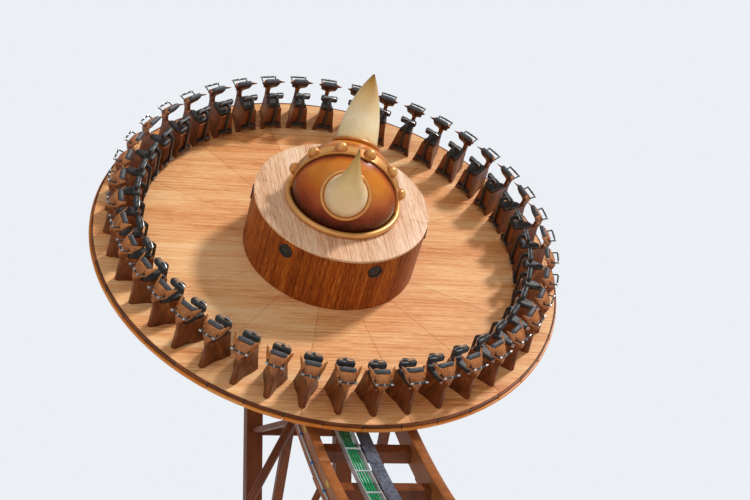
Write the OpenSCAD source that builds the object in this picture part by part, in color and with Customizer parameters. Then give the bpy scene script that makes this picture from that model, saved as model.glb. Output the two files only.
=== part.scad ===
/* [Track] */
// Radius of the arc that the running surface of the rails follows
rail_radius = 13250; // [12800:10:14000]
// Height of the running surface above the ground at the lowest point
valley_height = 1056; // [900:1:2000]
// Angle from the lowest point to either end of the track, degrees
track_half_angle = 64; // [60:0.5:68]
// Distance between the centre lines of the two rail beams
gauge = 1530; // [1400:10:1700]
// Width of a rail beam
beam_width = 160; // [120:1:200]
// Depth of a rail beam
beam_depth = 390; // [360:10:460]
// Depth of the tie tops below the running surface
tie_drop = 150; // [130:5:190]
// Width of a cross tie along the track
tie_width = 220; // [160:5:240]
// Depth of a cross tie
tie_depth = 190; // [120:5:210]
// Number of cross ties
tie_count = 28; // [20:2:32]

/* [Drive rail] */
// Width of the grey drive rail in the middle
drive_width = 190; // [150:5:200]
// Thickness of the drive rail's flat top
drive_plate = 20; // [12:1:30]
// Depth of the drive rail's top below the running surface
drive_drop = 40; // [20:5:60]
// Thickness of the drive rail's web
drive_web = 30; // [15:1:50]

/* [Cable tray] */
// Distance from the middle of the track to the middle of the tray
tray_offset = 247; // [240:1:280]
// Width of the ladder tray
tray_width = 234; // [225:1:250]
// Height of the tray's sides
tray_side = 110; // [100:1:120]
// Thickness of the tray's sides
tray_wall = 10; // [5:1:15]
// Number of rungs in the tray
rung_count = 48; // [30:1:60]
// Width of a rung along the track
rung_width = 30; // [20:1:50]
// Thickness of a rung
rung_depth = 15; // [8:1:20]
// Radius of one power cable
cable_radius = 16; // [8:0.5:18]
// Number of power cables
cable_count = 4; // [2:1:4]
// Distance between the middles of two cables
cable_pitch = 42; // [38:1:44]

/* [Track side] */
// Depth of the conduit's centre below the running surface
conduit_drop = 205; // [180:5:300]
// Radius of the conduit
conduit_radius = 14; // [8:1:20]
// Number of conduit clips
clip_count = 37; // [16:1:45]
// Length of a clip along the track
clip_length = 40; // [25:1:60]
// Length of a marker plate along the track
marker_length = 170; // [60:5:200]
// Height of a marker plate
marker_height = 75; // [50:5:120]
// Thickness of a marker plate
marker_thickness = 4; // [2:0.5:8]
// Number of marker plates
marker_count = 18; // [8:1:20]
// Depth of a marker plate's upper edge below the running surface
marker_drop = 20; // [5:5:60]

/* [Track ends] */
// Thickness of the plate that closes each end of the track
stop_thickness = 40; // [20:1:60]
// Height of a buffer's centre above the running surface
buffer_height = -30; // [-40:1:-15]
// Radius of a buffer
buffer_radius = 70; // [50:1:75]
// Length of a buffer
buffer_length = 150; // [80:5:200]

/* [Towers] */
// Distance from the middle of the ride to a tower's columns
column_distance = 11657; // [11400:1:11800]
// Width of a square column
column_width = 270; // [220:5:320]
// Width of a square strut
strut_width = 90; // [80:5:120]
// Height of the strut's centre above the ground
strut_height = 3730; // [3500:10:3800]
// Distance from the middle to the place where the diagonal meets the strut
knee_distance = 9077; // [9050:1:9300]
// Width of a diagonal brace
diagonal_width = 140; // [100:5:150]
// Height at which a diagonal meets its column
diagonal_foot = 100; // [80:10:400]
// Width of a cross member between two columns
cross_width = 140; // [100:5:180]
// Height of the upper cross member's centre
upper_cross_height = 6000; // [5600:10:6300]
// Thickness of a base plate
plate_thickness = 30; // [20:1:50]
// Width of a column's base plate
plate_width = 520; // [460:5:600]
// Distance between the bolt holes of a base plate, side to side
bolt_pitch = 400; // [370:5:440]
// Diameter of a bolt hole
bolt_hole = 33; // [26:1:42]

/* [Side props] */
// Distance from the middle of the ride to the large prop
prop_distance = 8907; // [8850:1:8950]
// Distance from the track's middle to the large prop's foot
prop_foot = 2800; // [2400:10:3200]
// Radius of the large prop
prop_radius = 65; // [50:1:70]
// Distance from the middle of the ride to the small prop
small_prop_distance = 7110; // [7000:10:7500]
// Distance from the track's middle to the small prop's foot
small_prop_foot = 2150; // [1900:10:2400]
// Radius of the small prop
small_prop_radius = 50; // [40:1:70]
// Width of a prop's foot plate
prop_plate = 380; // [300:5:480]

/* [Low supports] */
// Distance from the middle of the ride to the outer low posts
post_distance = 4500; // [3600:10:4800]
// Width of a low post
post_width = 200; // [150:5:260]
// Width of a low post's base plate
post_plate = 360; // [300:5:460]
// Length of the sill across the middle
sill_length = 2000; // [1900:10:2400]
// Width of the sill
sill_width = 400; // [300:10:500]
// Height of the sill
sill_height = 160; // [100:5:220]

/* [Carriage] */
// Angle along the track at which the carriage stands, degrees
ride_angle = 51.3; // [45:0.1:55]
// Radius of a running wheel
wheel_radius = 150; // [120:1:180]
// Width of a running wheel
wheel_width = 110; // [80:1:130]
// Running gap between a wheel and its rail
wheel_gap = 0.5; // [0.3:0.1:1]
// Angle along the track from the carriage's middle to a wheel, degrees
wheel_angle = 5; // [4.5:0.1:5.2]
// Radius of a guide wheel
guide_radius = 90; // [70:1:100]
// Thickness of a guide wheel
guide_width = 70; // [50:1:90]
// Distance from the carriage's middle to a guide wheel
guide_distance = 700; // [600:10:800]
// Radius of a drive tyre
tyre_radius = 200; // [160:1:220]
// Width of a drive tyre
tyre_width = 150; // [110:1:170]
// Angle along the track from the middle to a drive tyre, degrees
tyre_angle = 1.9; // [1.4:0.1:2.2]
// Radius of every axle
axle_radius = 35; // [25:1:45]
// Length of the chassis
chassis_length = 2500; // [2300:10:2700]
// Thickness of a chassis side
chassis_side = 60; // [40:1:80]
// Distance from the middle to a chassis side's outer face
chassis_half = 620; // [600:1:630]
// Height of a chassis side's underside above the rails
chassis_low = -20; // [-40:1:-10]
// Height of the chassis plate's underside above the rails
chassis_high = 400; // [390:1:410]
// Thickness of the chassis plate
chassis_plate = 50; // [30:1:60]
// Radius of the turntable bearing
bearing_radius = 550; // [450:5:600]
// Width of the turntable bearing's ring
bearing_width = 150; // [100:5:200]
// Height of each half of the bearing
bearing_height = 45; // [30:1:45]
// Radius of a drive motor
motor_radius = 115; // [80:1:125]
// Length of a drive motor
motor_length = 300; // [200:5:350]

/* [Platform] */
// Height of the deck above the rails in the middle
deck_height = 800; // [780:1:900]
// Radius of the platform to the outside of its edge board
platform_radius = 3800; // [3700:10:3900]
// Thickness of the deck boards
deck_thickness = 60; // [40:1:80]
// Thickness of the dark edge board
edge_board = 60; // [40:1:80]
// Height of the dark edge board
edge_height = 90; // [70:1:110]
// Height of the light wooden lip below it
lip_height = 60; // [40:1:70]
// How far the lip stands out
lip_overhang = 30; // [10:1:50]
// Width of the lip's ring
lip_width = 110; // [80:1:140]
// Radius of the hub under the deck
hub_radius = 650; // [600:5:700]
// Depth of the ribs at the hub
rib_depth = 260; // [240:1:260]
// Width of a rib
rib_width = 60; // [40:1:80]
// Number of ribs
rib_count = 20; // [16:1:24]

/* [Drum] */
// Radius of the drum
drum_radius = 1387; // [1300:1:1450]
// Height of the drum wall
drum_height = 990; // [900:5:1100]
// Thickness of the drum wall
drum_wall = 40; // [25:1:60]
// Thickness of the drum's top
drum_top_thickness = 40; // [25:1:60]
// Radius of a loudspeaker grille
grille_radius = 100; // [80:1:120]
// How far a grille stands out
grille_depth = 25; // [12:1:40]
// Height of a grille's centre above the deck
grille_height = 800; // [700:5:850]
// Number of grilles
grille_count = 6; // [4:1:8]

/* [Helmet] */
// Radius of the helmet's round bowl
dome_radius = 822; // [780:1:860]
// Height of the bowl's straight foot
dome_foot_height = 170; // [120:1:220]
// Radius of the gold ring round the helmet's foot, in section
brim_section = 49; // [35:1:60]
// Width of the gold band over the bowl
band_width = 210; // [180:5:300]
// Thickness of the gold band
band_thickness = 35; // [15:1:45]
// Radius of a rivet on the band
rivet_radius = 97; // [80:1:110]
// Number of rivets on the band
rivet_count = 6; // [4:1:7]
// Direction of the near horn, degrees from downhill
horn_direction = -16.8; // [-30:0.1:30]
// Direction of a horn's root above the level of the drum, degrees
horn_root_angle = 36; // [30:1:42]
// Radius of a horn's collar
collar_radius = 362; // [320:1:380]
// Radius of the collar's own section
collar_section = 30; // [20:1:45]
// Distance from the helmet's middle line to a horn's tip
horn_tip_reach = 968; // [900:1:1030]
// Height of a horn's tip above the drum
horn_tip_height = 1786; // [1650:1:1900]
// Radius of a horn at its blunt tip
horn_tip_radius = 16; // [10:1:30]

/* [Seats] */
// Number of seats round the platform
seat_count = 42; // [30:1:42]
// Turn of the seats against the downhill direction, degrees
seat_turn = 1.4; // [-4:0.1:4]
// Distance from the platform's middle to a pedestal's rear face
rear_face = 3060; // [3040:1:3090]
// Distance from the platform's middle to a pedestal's nose on the deck
nose_foot = 3587; // [3570:1:3610]
// Distance from a seat's middle line to the outside of a rear foot
foot_spread = 190; // [175:1:205]
// Height of a pedestal's top, under the saddle
pedestal_top = 430; // [400:1:450]
// Distance from a seat's middle line to the pedestal's side at its rear top
waist_spread = 115; // [100:1:125]
// Height of the opening between the rear feet
arch_height = 110; // [80:1:110]
// Thickness of a saddle
saddle_thickness = 50; // [40:1:60]
// Height at which the front cowl stands on its neck
neck_top = 500; // [485:1:510]
// Distance from the platform's middle to the cowl's lowest edge
cowl_tip = 3600; // [3590:1:3605]
// Distance from the platform's middle to the lower edge of the cowl's face
face_low_out = 3545; // [3535:1:3555]
// Height of the lower edge of the cowl's face
face_low_up = 655; // [645:1:665]
// Distance from the platform's middle to the upper edge of the cowl's face
face_top_out = 3450; // [3440:1:3460]
// Height of the upper edge of the cowl's face
face_top_up = 750; // [740:1:760]
// Width of the cowl's face at its lower edge
face_low_width = 176; // [160:1:190]
// Width of the cowl's face at its upper edge
face_top_width = 240; // [220:1:250]
// Width of the cowl across the rear edges of its sides
cowl_width = 290; // [270:1:300]
// Thickness of a chest pad
chest_pad_thickness = 70; // [50:1:75]
// Distance from the platform's middle to a handlebar's grip
grip_out = 3600; // [3590:1:3610]
// Height of a handlebar's grip above the deck
grip_up = 690; // [680:1:700]
// Width of a handlebar
bar_width = 280; // [270:1:290]
// Radius of a handlebar's tube
bar_radius = 14; // [11:1:15]
// Distance from the platform's middle to a back pad's front
back_face = 3200; // [3185:1:3210]
// Thickness of a back pad
back_pad_thickness = 80; // [60:1:85]
// Height of a back pad's lower edge
back_pad_low = 565; // [555:1:575]
// Height of a back pad
back_pad_height = 125; // [110:1:130]
// Width of a back pad
back_pad_width = 286; // [260:1:300]
// Width of the stem that carries a back pad
stem_width = 46; // [36:1:56]
// Depth of the stem
stem_depth = 40; // [30:1:44]
// Width of the stem's foot
stem_foot_width = 260; // [240:1:280]
// Height of the stem's foot above the deck
stem_foot_low = 100; // [90:1:105]

/* [Hidden] */
$fn = 48;
arc_height = valley_height + rail_radius;
beam_outer = rail_radius + beam_depth;
beam_lateral = gauge / 2;
tie_top = rail_radius + tie_drop;
tie_margin = 1.7;
rung_margin = 0.42;
clip_margin = 4.42;
marker_margin = 8.15;
cable_margin = 1;
cable_shift = 19;
tray_joint = 0.02;
tie_gap = 0.1;
conduit_gap = 4;
tie_step = 2 * (track_half_angle - tie_margin) / (tie_count - 1);
fit_gap = 0.3;
expansion_gap = 4;
weld_angle = 0.005;
grille_turn = 14;
rung_top = tie_top - tray_side;
side_face = beam_lateral + beam_width / 2;
buffer_lateral = chassis_half - chassis_side / 2;
seat_step = 360 / seat_count;
dome_foot = drum_height + drum_top_thickness;
brown = [0.28, 0.14, 0.08];
wood = [0.75, 0.5, 0.28];
gold = [0.75, 0.55, 0.25];

// A bar along the arc between two angles; y is the bar's middle across the track.
module arc_bar(from, to, y, width, inner, depth) {
    arc_sweep(from, to) translate([inner, -y - width / 2]) square([depth, width]);
}

// Turns a flat section round the middle of the arc; the section's x is the radius, its y is across the track.
module arc_sweep(from, to) {
    translate([0, 0, arc_height]) rotate([90, 0, 0]) rotate([0, 0, 270 - to])
        rotate_extrude(angle = to - from, $fn = 240) children();
}

// Places children at an angle along the track, with z = 0 on the running surface.
module on_track(angle) {
    translate([0, 0, arc_height]) rotate([0, angle, 0]) translate([0, 0, -rail_radius]) children();
}

module on_carriage() {
    on_track(ride_angle) children();
}

module on_platform() {
    on_carriage() translate([0, 0, deck_height]) children();
}

module mirrored(axis) {
    children();
    mirror(axis) children();
}

module block(from, to) {
    translate(from) cube(to - from);
}

// The space that the rail beams and everything above them fill.
module above_beams() {
    translate([0, sill_length, arc_height]) rotate([90, 0, 0])
        cylinder(r = beam_outer, h = 2 * sill_length, $fn = 360);
}

// Track

module beam_pair(from, to) {
    color(brown) mirrored([0, 1, 0])
        arc_bar(from, to, beam_lateral, beam_width, rail_radius, beam_depth);
}

module far_upper_beams() { beam_pair(track_half_angle / 2, track_half_angle); }
module far_lower_beams() { beam_pair(weld_angle, track_half_angle / 2 - weld_angle); }
module near_lower_beams() { beam_pair(weld_angle - track_half_angle / 2, -weld_angle); }
module near_upper_beams() { beam_pair(-track_half_angle, -track_half_angle / 2); }

module cross_ties() {
    half = beam_lateral - beam_width / 2 - tie_gap;
    color(brown) for (i = [0 : tie_count - 1])
        on_track((i - (tie_count - 1) / 2) * tie_step)
            block([-tie_width / 2, -half, -tie_drop - tie_depth], [tie_width / 2, half, -tie_drop]);
}

module drive_rail() {
    top = rail_radius + drive_drop;
    gap_angle = expansion_gap / rail_radius * 180 / PI;
    color("dimgray") for (i = [-2 : 1])
        arc_sweep(i * track_half_angle / 2 + gap_angle, (i + 1) * track_half_angle / 2 - gap_angle) {
            translate([top, -drive_width / 2]) square([drive_plate, drive_width]);
            translate([top, -drive_web / 2]) square([tie_top - top, drive_web]);
        }
}

module cable_tray() {
    color("lightgray") for (side = [-1, 1], i = [-2 : 1])
        arc_bar(i * track_half_angle / 2, (i + 1) * track_half_angle / 2 - tray_joint,
            -tray_offset + side * (tray_width - tray_wall) / 2, tray_wall, tie_top - tray_side, tray_side);
}

module tray_rungs() {
    half = tray_width / 2 - tray_wall;
    step = 2 * (track_half_angle - rung_margin) / (rung_count - 1);
    low = rail_radius - rung_top - rung_depth;
    color("lightgray") for (i = [0 : rung_count - 1])
        on_track((i - (rung_count - 1) / 2) * step)
            block([-rung_width / 2, -tray_offset - half, low],
                [rung_width / 2, -tray_offset + half, low + rung_depth]);
}

module power_cables() {
    color([0.1, 0.6, 0.4]) for (i = [0 : cable_count - 1])
        arc_sweep(-track_half_angle + cable_margin, track_half_angle - cable_margin)
            translate([rung_top + rung_depth + fit_gap + cable_radius,
                tray_offset + cable_shift + (i - (cable_count - 1) / 2) * cable_pitch])
            circle(r = cable_radius, $fn = 24);
}

module conduit() {
    color("silver") arc_sweep(-track_half_angle + cable_margin, track_half_angle - cable_margin)
        translate([rail_radius + conduit_drop, side_face + conduit_radius + conduit_gap])
        circle(r = conduit_radius, $fn = 24);
}

module conduit_clips() {
    step = 2 * (track_half_angle - clip_margin) / (clip_count - 1);
    out = 2 * conduit_radius + 10;
    color("royalblue") for (i = [0 : clip_count - 1])
        on_track((i - (clip_count - 1) / 2) * step) difference() {
            block([-clip_length / 2, -side_face - out, -conduit_drop - 1.6 * conduit_radius],
                [clip_length / 2, -side_face, -conduit_drop + 1.6 * conduit_radius]);
            translate([-clip_length, -side_face - conduit_radius - conduit_gap, -conduit_drop])
                rotate([0, 90, 0]) cylinder(r = conduit_radius + fit_gap, h = 2 * clip_length);
        }
}

module marker_plates() {
    step = 2 * (track_half_angle - marker_margin) / (marker_count - 1);
    low = -marker_drop - marker_height;
    color("gold") for (i = [0 : marker_count - 1])
        on_track((i - (marker_count - 1) / 2) * step)
            block([-marker_length / 2, -side_face - marker_thickness, low],
                [marker_length / 2, -side_face, low + marker_height]);
}

module at_track_ends() {
    on_track(track_half_angle) children();
    mirror([1, 0, 0]) on_track(track_half_angle) children();
}

module end_stops() {
    color(brown) at_track_ends()
        block([-stop_thickness, -side_face, -beam_depth], [0, side_face, buffer_height + buffer_radius]);
}

module buffers() {
    color([0.1, 0.1, 0.1]) at_track_ends() mirrored([0, 1, 0])
        translate([0, buffer_lateral, buffer_height]) rotate([0, 90, 0])
        cylinder(r = buffer_radius, h = buffer_length);
}

// Towers and props

// The columns, struts and diagonals of one side of one tower stand in the plane of a rail beam.
module at_each_leg() {
    mirrored([1, 0, 0]) mirrored([0, 1, 0]) translate([0, beam_lateral, 0]) children();
}

// Everything below a flat cut that touches the beams' undersides at a distance from the ride's middle.
module under_beams(distance) {
    on_track(asin(distance / beam_outer))
        block([-beam_outer, -beam_outer, -2 * beam_outer], [beam_outer, beam_outer, -beam_depth]);
}

module strut_shape() {
    block([-column_distance + column_width / 2, -strut_width / 2, strut_height - strut_width / 2],
        [-knee_distance / 2, strut_width / 2, strut_height + strut_width / 2]);
}

module tower_columns() {
    color(brown) at_each_leg() intersection() {
        block([-column_distance - column_width / 2, -column_width / 2, plate_thickness],
            [-column_distance + column_width / 2, column_width / 2, arc_height]);
        under_beams(column_distance);
    }
}

module tower_struts() {
    color(brown) difference() {
        at_each_leg() strut_shape();
        above_beams();
    }
}

module tower_diagonals() {
    run = column_distance - knee_distance;
    rise = strut_height - diagonal_foot;
    reach = sqrt(run * run + rise * rise);
    color(brown) at_each_leg() intersection() {
        translate([-column_distance, 0, diagonal_foot]) rotate([0, atan2(run, rise), 0])
            translate([-diagonal_width / 2, -diagonal_width / 2, -column_width])
            cube([diagonal_width, diagonal_width, reach + 2 * column_width]);
        block([-column_distance + column_width / 2, -diagonal_width, 0],
            [-knee_distance / 2, diagonal_width, strut_height - strut_width / 2]);
    }
}

module tower_cross_members() {
    half = beam_lateral - column_width / 2;
    color(brown) mirrored([1, 0, 0]) for (z = [strut_height, upper_cross_height])
        block([-column_distance - cross_width / 2, -half, z - cross_width / 2],
            [-column_distance + cross_width / 2, half, z + cross_width / 2]);
}

module base_plates() {
    color(brown) at_each_leg() translate([-column_distance, 0, 0]) difference() {
        block([-plate_width / 2, -plate_width / 2, 0], [plate_width / 2, plate_width / 2, plate_thickness]);
        for (x = [-1, 1], y = [-1, 1])
            translate([x * bolt_pitch / 2, y * bolt_pitch / 2, -1])
                cylinder(d = bolt_hole, h = plate_thickness + 2);
    }
}

// The props stand on the left of the far tower and, by a half turn, on the right of the near one.
module on_both_towers() {
    children();
    rotate([0, 0, 180]) children();
}

module prop_shape(distance, top, foot, radius) {
    run = foot - beam_lateral;
    translate([-distance, -foot, 0]) rotate([-atan2(run, top), 0, 0])
        translate([0, 0, -radius]) cylinder(r = radius, h = sqrt(run * run + top * top) + radius);
}

module side_props() {
    small_top = arc_height - sqrt(beam_outer * beam_outer - small_prop_distance * small_prop_distance);
    color(brown) on_both_towers() difference() {
        union() {
            prop_shape(prop_distance, strut_height, prop_foot, prop_radius);
            prop_shape(small_prop_distance, small_top + beam_width / 2, small_prop_foot, small_prop_radius);
        }
        block([-rail_radius, -rail_radius, -1000], [0, 0, plate_thickness]);
        block([-rail_radius, -beam_lateral - strut_width / 2, strut_height - strut_width / 2],
            [-knee_distance / 2, 0, strut_height + 2 * strut_width]);
        block([-rail_radius, -beam_lateral - diagonal_width / 2, 0],
            [-prop_distance - prop_radius * 2, 0, strut_height]);
        above_beams();
    }
}

module prop_plates() {
    color(brown) on_both_towers() {
        translate([-prop_distance, -prop_foot, 0])
            block([-prop_plate / 2, -prop_plate / 2, 0], [prop_plate / 2, prop_plate / 2, plate_thickness]);
        translate([-small_prop_distance, -small_prop_foot, 0])
            block([-prop_plate / 2, -prop_plate / 2, 0], [prop_plate / 2, prop_plate / 2, plate_thickness]);
    }
}

// Low supports

module low_posts() {
    color(brown) for (x = [-post_distance, post_distance, 0], y = [-beam_lateral, beam_lateral])
        intersection() {
            block([x - post_width / 2, y - post_width / 2, x == 0 ? sill_height : plate_thickness],
                [x + post_width / 2, y + post_width / 2, arc_height]);
            under_beams(-x);
        }
}

module post_plates() {
    color(brown) for (x = [-post_distance, post_distance], y = [-beam_lateral, beam_lateral])
        translate([x, y, 0]) block([-post_plate / 2, -post_plate / 2, 0],
            [post_plate / 2, post_plate / 2, plate_thickness]);
}

module valley_sill() {
    color(brown) block([-sill_width / 2, -sill_length / 2, 0], [sill_width / 2, sill_length / 2, sill_height]);
}

// Carriage

module chassis_sides() {
    color([0.2, 0.2, 0.22]) on_carriage() mirrored([0, 1, 0])
        block([-chassis_length / 2, chassis_half - chassis_side, chassis_low],
            [chassis_length / 2, chassis_half, chassis_high]);
}

module chassis_deck() {
    half = bearing_radius + 350;
    color([0.2, 0.2, 0.22]) on_carriage()
        block([-half, -chassis_half, chassis_high], [half, chassis_half, chassis_high + chassis_plate]);
}

// A wheel or axle lies across the track at an angle from the carriage's middle and a height above the rail.
module across(angle, height, y) {
    on_track(ride_angle + angle) translate([0, y, height]) rotate([-90, 0, 0]) children();
}

module ring(outer, inner, height) {
    difference() {
        cylinder(r = outer, h = height);
        translate([0, 0, -1]) cylinder(r = inner, h = height + 2);
    }
}

module running_wheels() {
    color([0.15, 0.15, 0.15]) for (a = [-wheel_angle, wheel_angle], y = [-beam_lateral, beam_lateral])
        across(a, wheel_radius + wheel_gap, y - wheel_width / 2)
            ring(wheel_radius, axle_radius + fit_gap, wheel_width);
}

module wheel_axles() {
    reach = beam_lateral + wheel_width / 2 + 30 - chassis_half;
    color("silver") for (a = [-wheel_angle, wheel_angle], side = [-1, 1])
        across(a, wheel_radius + wheel_gap, side > 0 ? chassis_half : -chassis_half - reach)
            cylinder(r = axle_radius, h = reach);
}

module at_guides() {
    y = beam_lateral - beam_width / 2 - guide_radius - wheel_gap;
    on_carriage() for (x = [-guide_distance, guide_distance], side = [-1, 1])
        translate([x, side * y, -tie_drop / 2 - guide_width / 2]) children();
}

module guide_wheels() {
    color([0.15, 0.15, 0.15]) at_guides() ring(guide_radius, axle_radius + fit_gap, guide_width);
}

module guide_pins() {
    color("silver") at_guides() cylinder(r = axle_radius, h = chassis_low + tie_drop / 2 + guide_width / 2);
}

module drive_tyres() {
    color([0.1, 0.1, 0.1]) for (a = [-tyre_angle, tyre_angle])
        across(a, tyre_radius + wheel_gap - drive_drop, -tyre_width / 2)
            ring(tyre_radius, axle_radius + fit_gap, tyre_width);
}

module drive_axles() {
    inner = chassis_half - chassis_side;
    color("silver") for (a = [-tyre_angle, tyre_angle])
        across(a, tyre_radius + wheel_gap - drive_drop, -inner) cylinder(r = axle_radius, h = 2 * inner);
}

module drive_motors() {
    color([0.2, 0.3, 0.45]) for (a = [-tyre_angle, tyre_angle])
        across(a, tyre_radius + wheel_gap - drive_drop, tyre_width / 2 + 40)
            ring(motor_radius, axle_radius + fit_gap, motor_length);
}

module bearing_lower() {
    color("silver") on_carriage() translate([0, 0, chassis_high + chassis_plate])
        ring(bearing_radius, bearing_radius - bearing_width, bearing_height);
}

// Platform

module bearing_upper() {
    low = -rib_depth - (deck_height - rib_depth - chassis_high - chassis_plate - bearing_height - wheel_gap);
    color("silver") on_platform() translate([0, 0, low])
        ring(bearing_radius, bearing_radius - bearing_width, -rib_depth - low);
}

module hub() {
    color([0.2, 0.2, 0.22]) on_platform() translate([0, 0, -rib_depth])
        cylinder(r = hub_radius, h = rib_depth - deck_thickness, $fn = 96);
}

module deck() {
    color(wood) on_platform() translate([0, 0, -deck_thickness])
        cylinder(r = platform_radius - edge_board, h = deck_thickness, $fn = 180);
}

module deck_ribs() {
    inner = platform_radius + lip_overhang - lip_width;
    low = -edge_height - lip_height;
    outline = [[0, -deck_thickness], [0, -rib_depth], [2 * hub_radius, -rib_depth],
        [platform_radius, low], [platform_radius, -deck_thickness]];
    color([0.2, 0.2, 0.22]) on_platform() difference() {
        intersection() {
            for (i = [0 : rib_count - 1]) rotate([90, 0, i * 360 / rib_count])
                linear_extrude(rib_width, center = true) polygon(outline);
            translate([0, 0, -rib_depth]) cylinder(r = inner, h = rib_depth, $fn = 180);
        }
        translate([0, 0, -rib_depth - 1]) cylinder(r = hub_radius, h = rib_depth + 2, $fn = 96);
    }
}

module edge_ring() {
    color([0.3, 0.15, 0.08]) on_platform() translate([0, 0, -edge_height]) difference() {
        cylinder(r = platform_radius, h = edge_height, $fn = 180);
        translate([0, 0, -1]) cylinder(r = platform_radius - edge_board, h = edge_height + 2, $fn = 180);
    }
}

module lip_ring() {
    outer = platform_radius + lip_overhang;
    color([0.8, 0.45, 0.15]) on_platform() translate([0, 0, -edge_height - lip_height]) difference() {
        cylinder(r = outer, h = lip_height, $fn = 180);
        translate([0, 0, -1]) cylinder(r = outer - lip_width, h = lip_height + 2, $fn = 180);
    }
}

// Drum

module drum_shell() {
    color(wood) on_platform() difference() {
        cylinder(r = drum_radius, h = drum_height, $fn = 120);
        translate([0, 0, -1]) cylinder(r = drum_radius - drum_wall, h = drum_height + 2, $fn = 120);
    }
}

module drum_top() {
    color(wood) on_platform() translate([0, 0, drum_height])
        cylinder(r = drum_radius, h = drum_top_thickness, $fn = 120);
}

module speaker_grilles() {
    color([0.08, 0.08, 0.08]) on_platform() difference() {
        for (i = [0 : grille_count - 1]) rotate([0, 0, grille_turn + i * 360 / grille_count])
            translate([drum_radius - drum_wall / 2, 0, grille_height]) rotate([0, 90, 0])
                cylinder(r = grille_radius, h = grille_depth + drum_wall / 2);
        cylinder(r = drum_radius, h = drum_height, $fn = 1440);
    }
}

// Helmet

module on_drum() {
    on_platform() translate([0, 0, dome_foot]) rotate([0, 0, horn_direction]) children();
}

// The bowl: a straight foot, then half a ball.
module bowl(extra) {
    cylinder(r = dome_radius + extra, h = dome_foot_height, $fn = 180);
    intersection() {
        translate([0, 0, dome_foot_height]) sphere(r = dome_radius + extra, $fn = 180);
        translate([0, 0, dome_foot_height]) cylinder(r = 2 * dome_radius, h = 2 * dome_radius, $fn = 180);
    }
}

module helmet_brim() {
    color(gold) on_drum() translate([0, 0, brim_section]) rotate_extrude($fn = 96)
        translate([dome_radius + brim_section, 0]) circle(r = brim_section, $fn = 32);
}

module helmet_dome() {
    color([0.45, 0.2, 0.06]) on_drum() bowl(0);
}

module helmet_band() {
    reach = 2 * dome_radius;
    color(gold) on_drum() difference() {
        intersection() {
            bowl(band_thickness);
            block([-band_width / 2, -reach, 2 * brim_section], [band_width / 2, reach, reach]);
        }
        bowl(0);
    }
}

module helmet_rivets() {
    step = 180 / rivet_count;
    color(gold) on_drum() difference() {
        for (i = [0 : rivet_count - 1]) translate([0, 0, dome_foot_height]) rotate([(i + 0.5) * step, 0, 0])
            translate([0, dome_radius + band_thickness, 0]) sphere(r = rivet_radius);
        bowl(band_thickness);
    }
}

// A horn's root stands square on the bowl; x runs out along it from the middle of the ball.
collar_plane = sqrt(pow(dome_radius + collar_section, 2) - collar_radius * collar_radius);

module horn_collars() {
    color(gold) on_drum() mirrored([1, 0, 0]) translate([0, 0, dome_foot_height])
        rotate([0, 90 - horn_root_angle, 0]) translate([0, 0, collar_plane]) rotate_extrude($fn = 96)
        translate([collar_radius, 0]) circle(r = collar_section, $fn = 32);
}

horn_rings = 14;
horn_sides = 20;
horn_root = (collar_plane - collar_section) * [cos(horn_root_angle), sin(horn_root_angle)] + [0, dome_foot_height];
horn_lead = 617;
horn_bow = 264;
horn_rise = 419;
horn_fullness = 1.75;
horn_taper = 1.35;
horn_tip = [horn_tip_reach, horn_tip_height];
horn_guides = [horn_root, horn_root + horn_lead * [cos(horn_root_angle), sin(horn_root_angle)],
    horn_tip - [-horn_bow, horn_rise], horn_tip];

// The horn's middle line: it leaves the bowl square and turns up, as a curve with four guide points.
function horn_line(t) = pow(1 - t, 3) * horn_guides[0] + 3 * t * pow(1 - t, 2) * horn_guides[1]
    + 3 * t * t * (1 - t) * horn_guides[2] + t * t * t * horn_guides[3];
function horn_run(t) = horn_line(min(t + 0.01, 1)) - horn_line(max(t - 0.01, 0));
function horn_size(t) = horn_tip_radius
    + (collar_radius - collar_section - fit_gap - horn_tip_radius)
    * pow(1 - pow(t, horn_fullness), horn_taper);
function horn_ring(t) = [for (i = [0 : horn_sides - 1])
    let (a = i * 360 / horn_sides, r = horn_size(t), p = horn_line(t), d = horn_run(t) / norm(horn_run(t)))
    [p[0] - r * cos(a) * d[1], r * sin(a), p[1] + r * cos(a) * d[0]]];

module horns() {
    points = [for (k = [0 : horn_rings]) each horn_ring(k / horn_rings)];
    sides = [for (k = [0 : horn_rings - 1], i = [0 : horn_sides - 1])
        let (j = (i + 1) % horn_sides, n = k * horn_sides)
        [n + i, n + j, n + horn_sides + j, n + horn_sides + i]];
    caps = [[for (i = [horn_sides - 1 : -1 : 0]) i],
        [for (i = [0 : horn_sides - 1]) horn_rings * horn_sides + i]];
    color([0.93, 0.88, 0.75]) on_drum() mirrored([1, 0, 0]) difference() {
        polyhedron(points, concat(sides, caps));
        bowl(0);
    }
}

// Seats: x is outward from the platform's middle, y is across the seat, z is up from the deck.

saddle_rear = rear_face + 10;
saddle_front = nose_foot - 142;
saddle_rise = 20;
stem_foot_height = 40;
cowl_rear_out = face_top_out - 60;
cowl_rear_up = face_top_up - 50;
grip_run = [172, 54];

module at_seats() {
    on_platform() for (i = [0 : seat_count - 1]) rotate([0, 0, seat_turn + i * seat_step]) children();
}

// Extrudes a side view, given as [outward, up] points, across the seat.
module side_view(width) {
    rotate([90, 0, 0]) linear_extrude(width, center = true) children();
}

// A ring of points from one half of it, each given as [outward, across, up].
function both_sides(half) = let (n = len(half))
    [for (i = [n - 1 : -1 : 0]) [half[i][0], -half[i][1], half[i][2]], each half];

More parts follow.
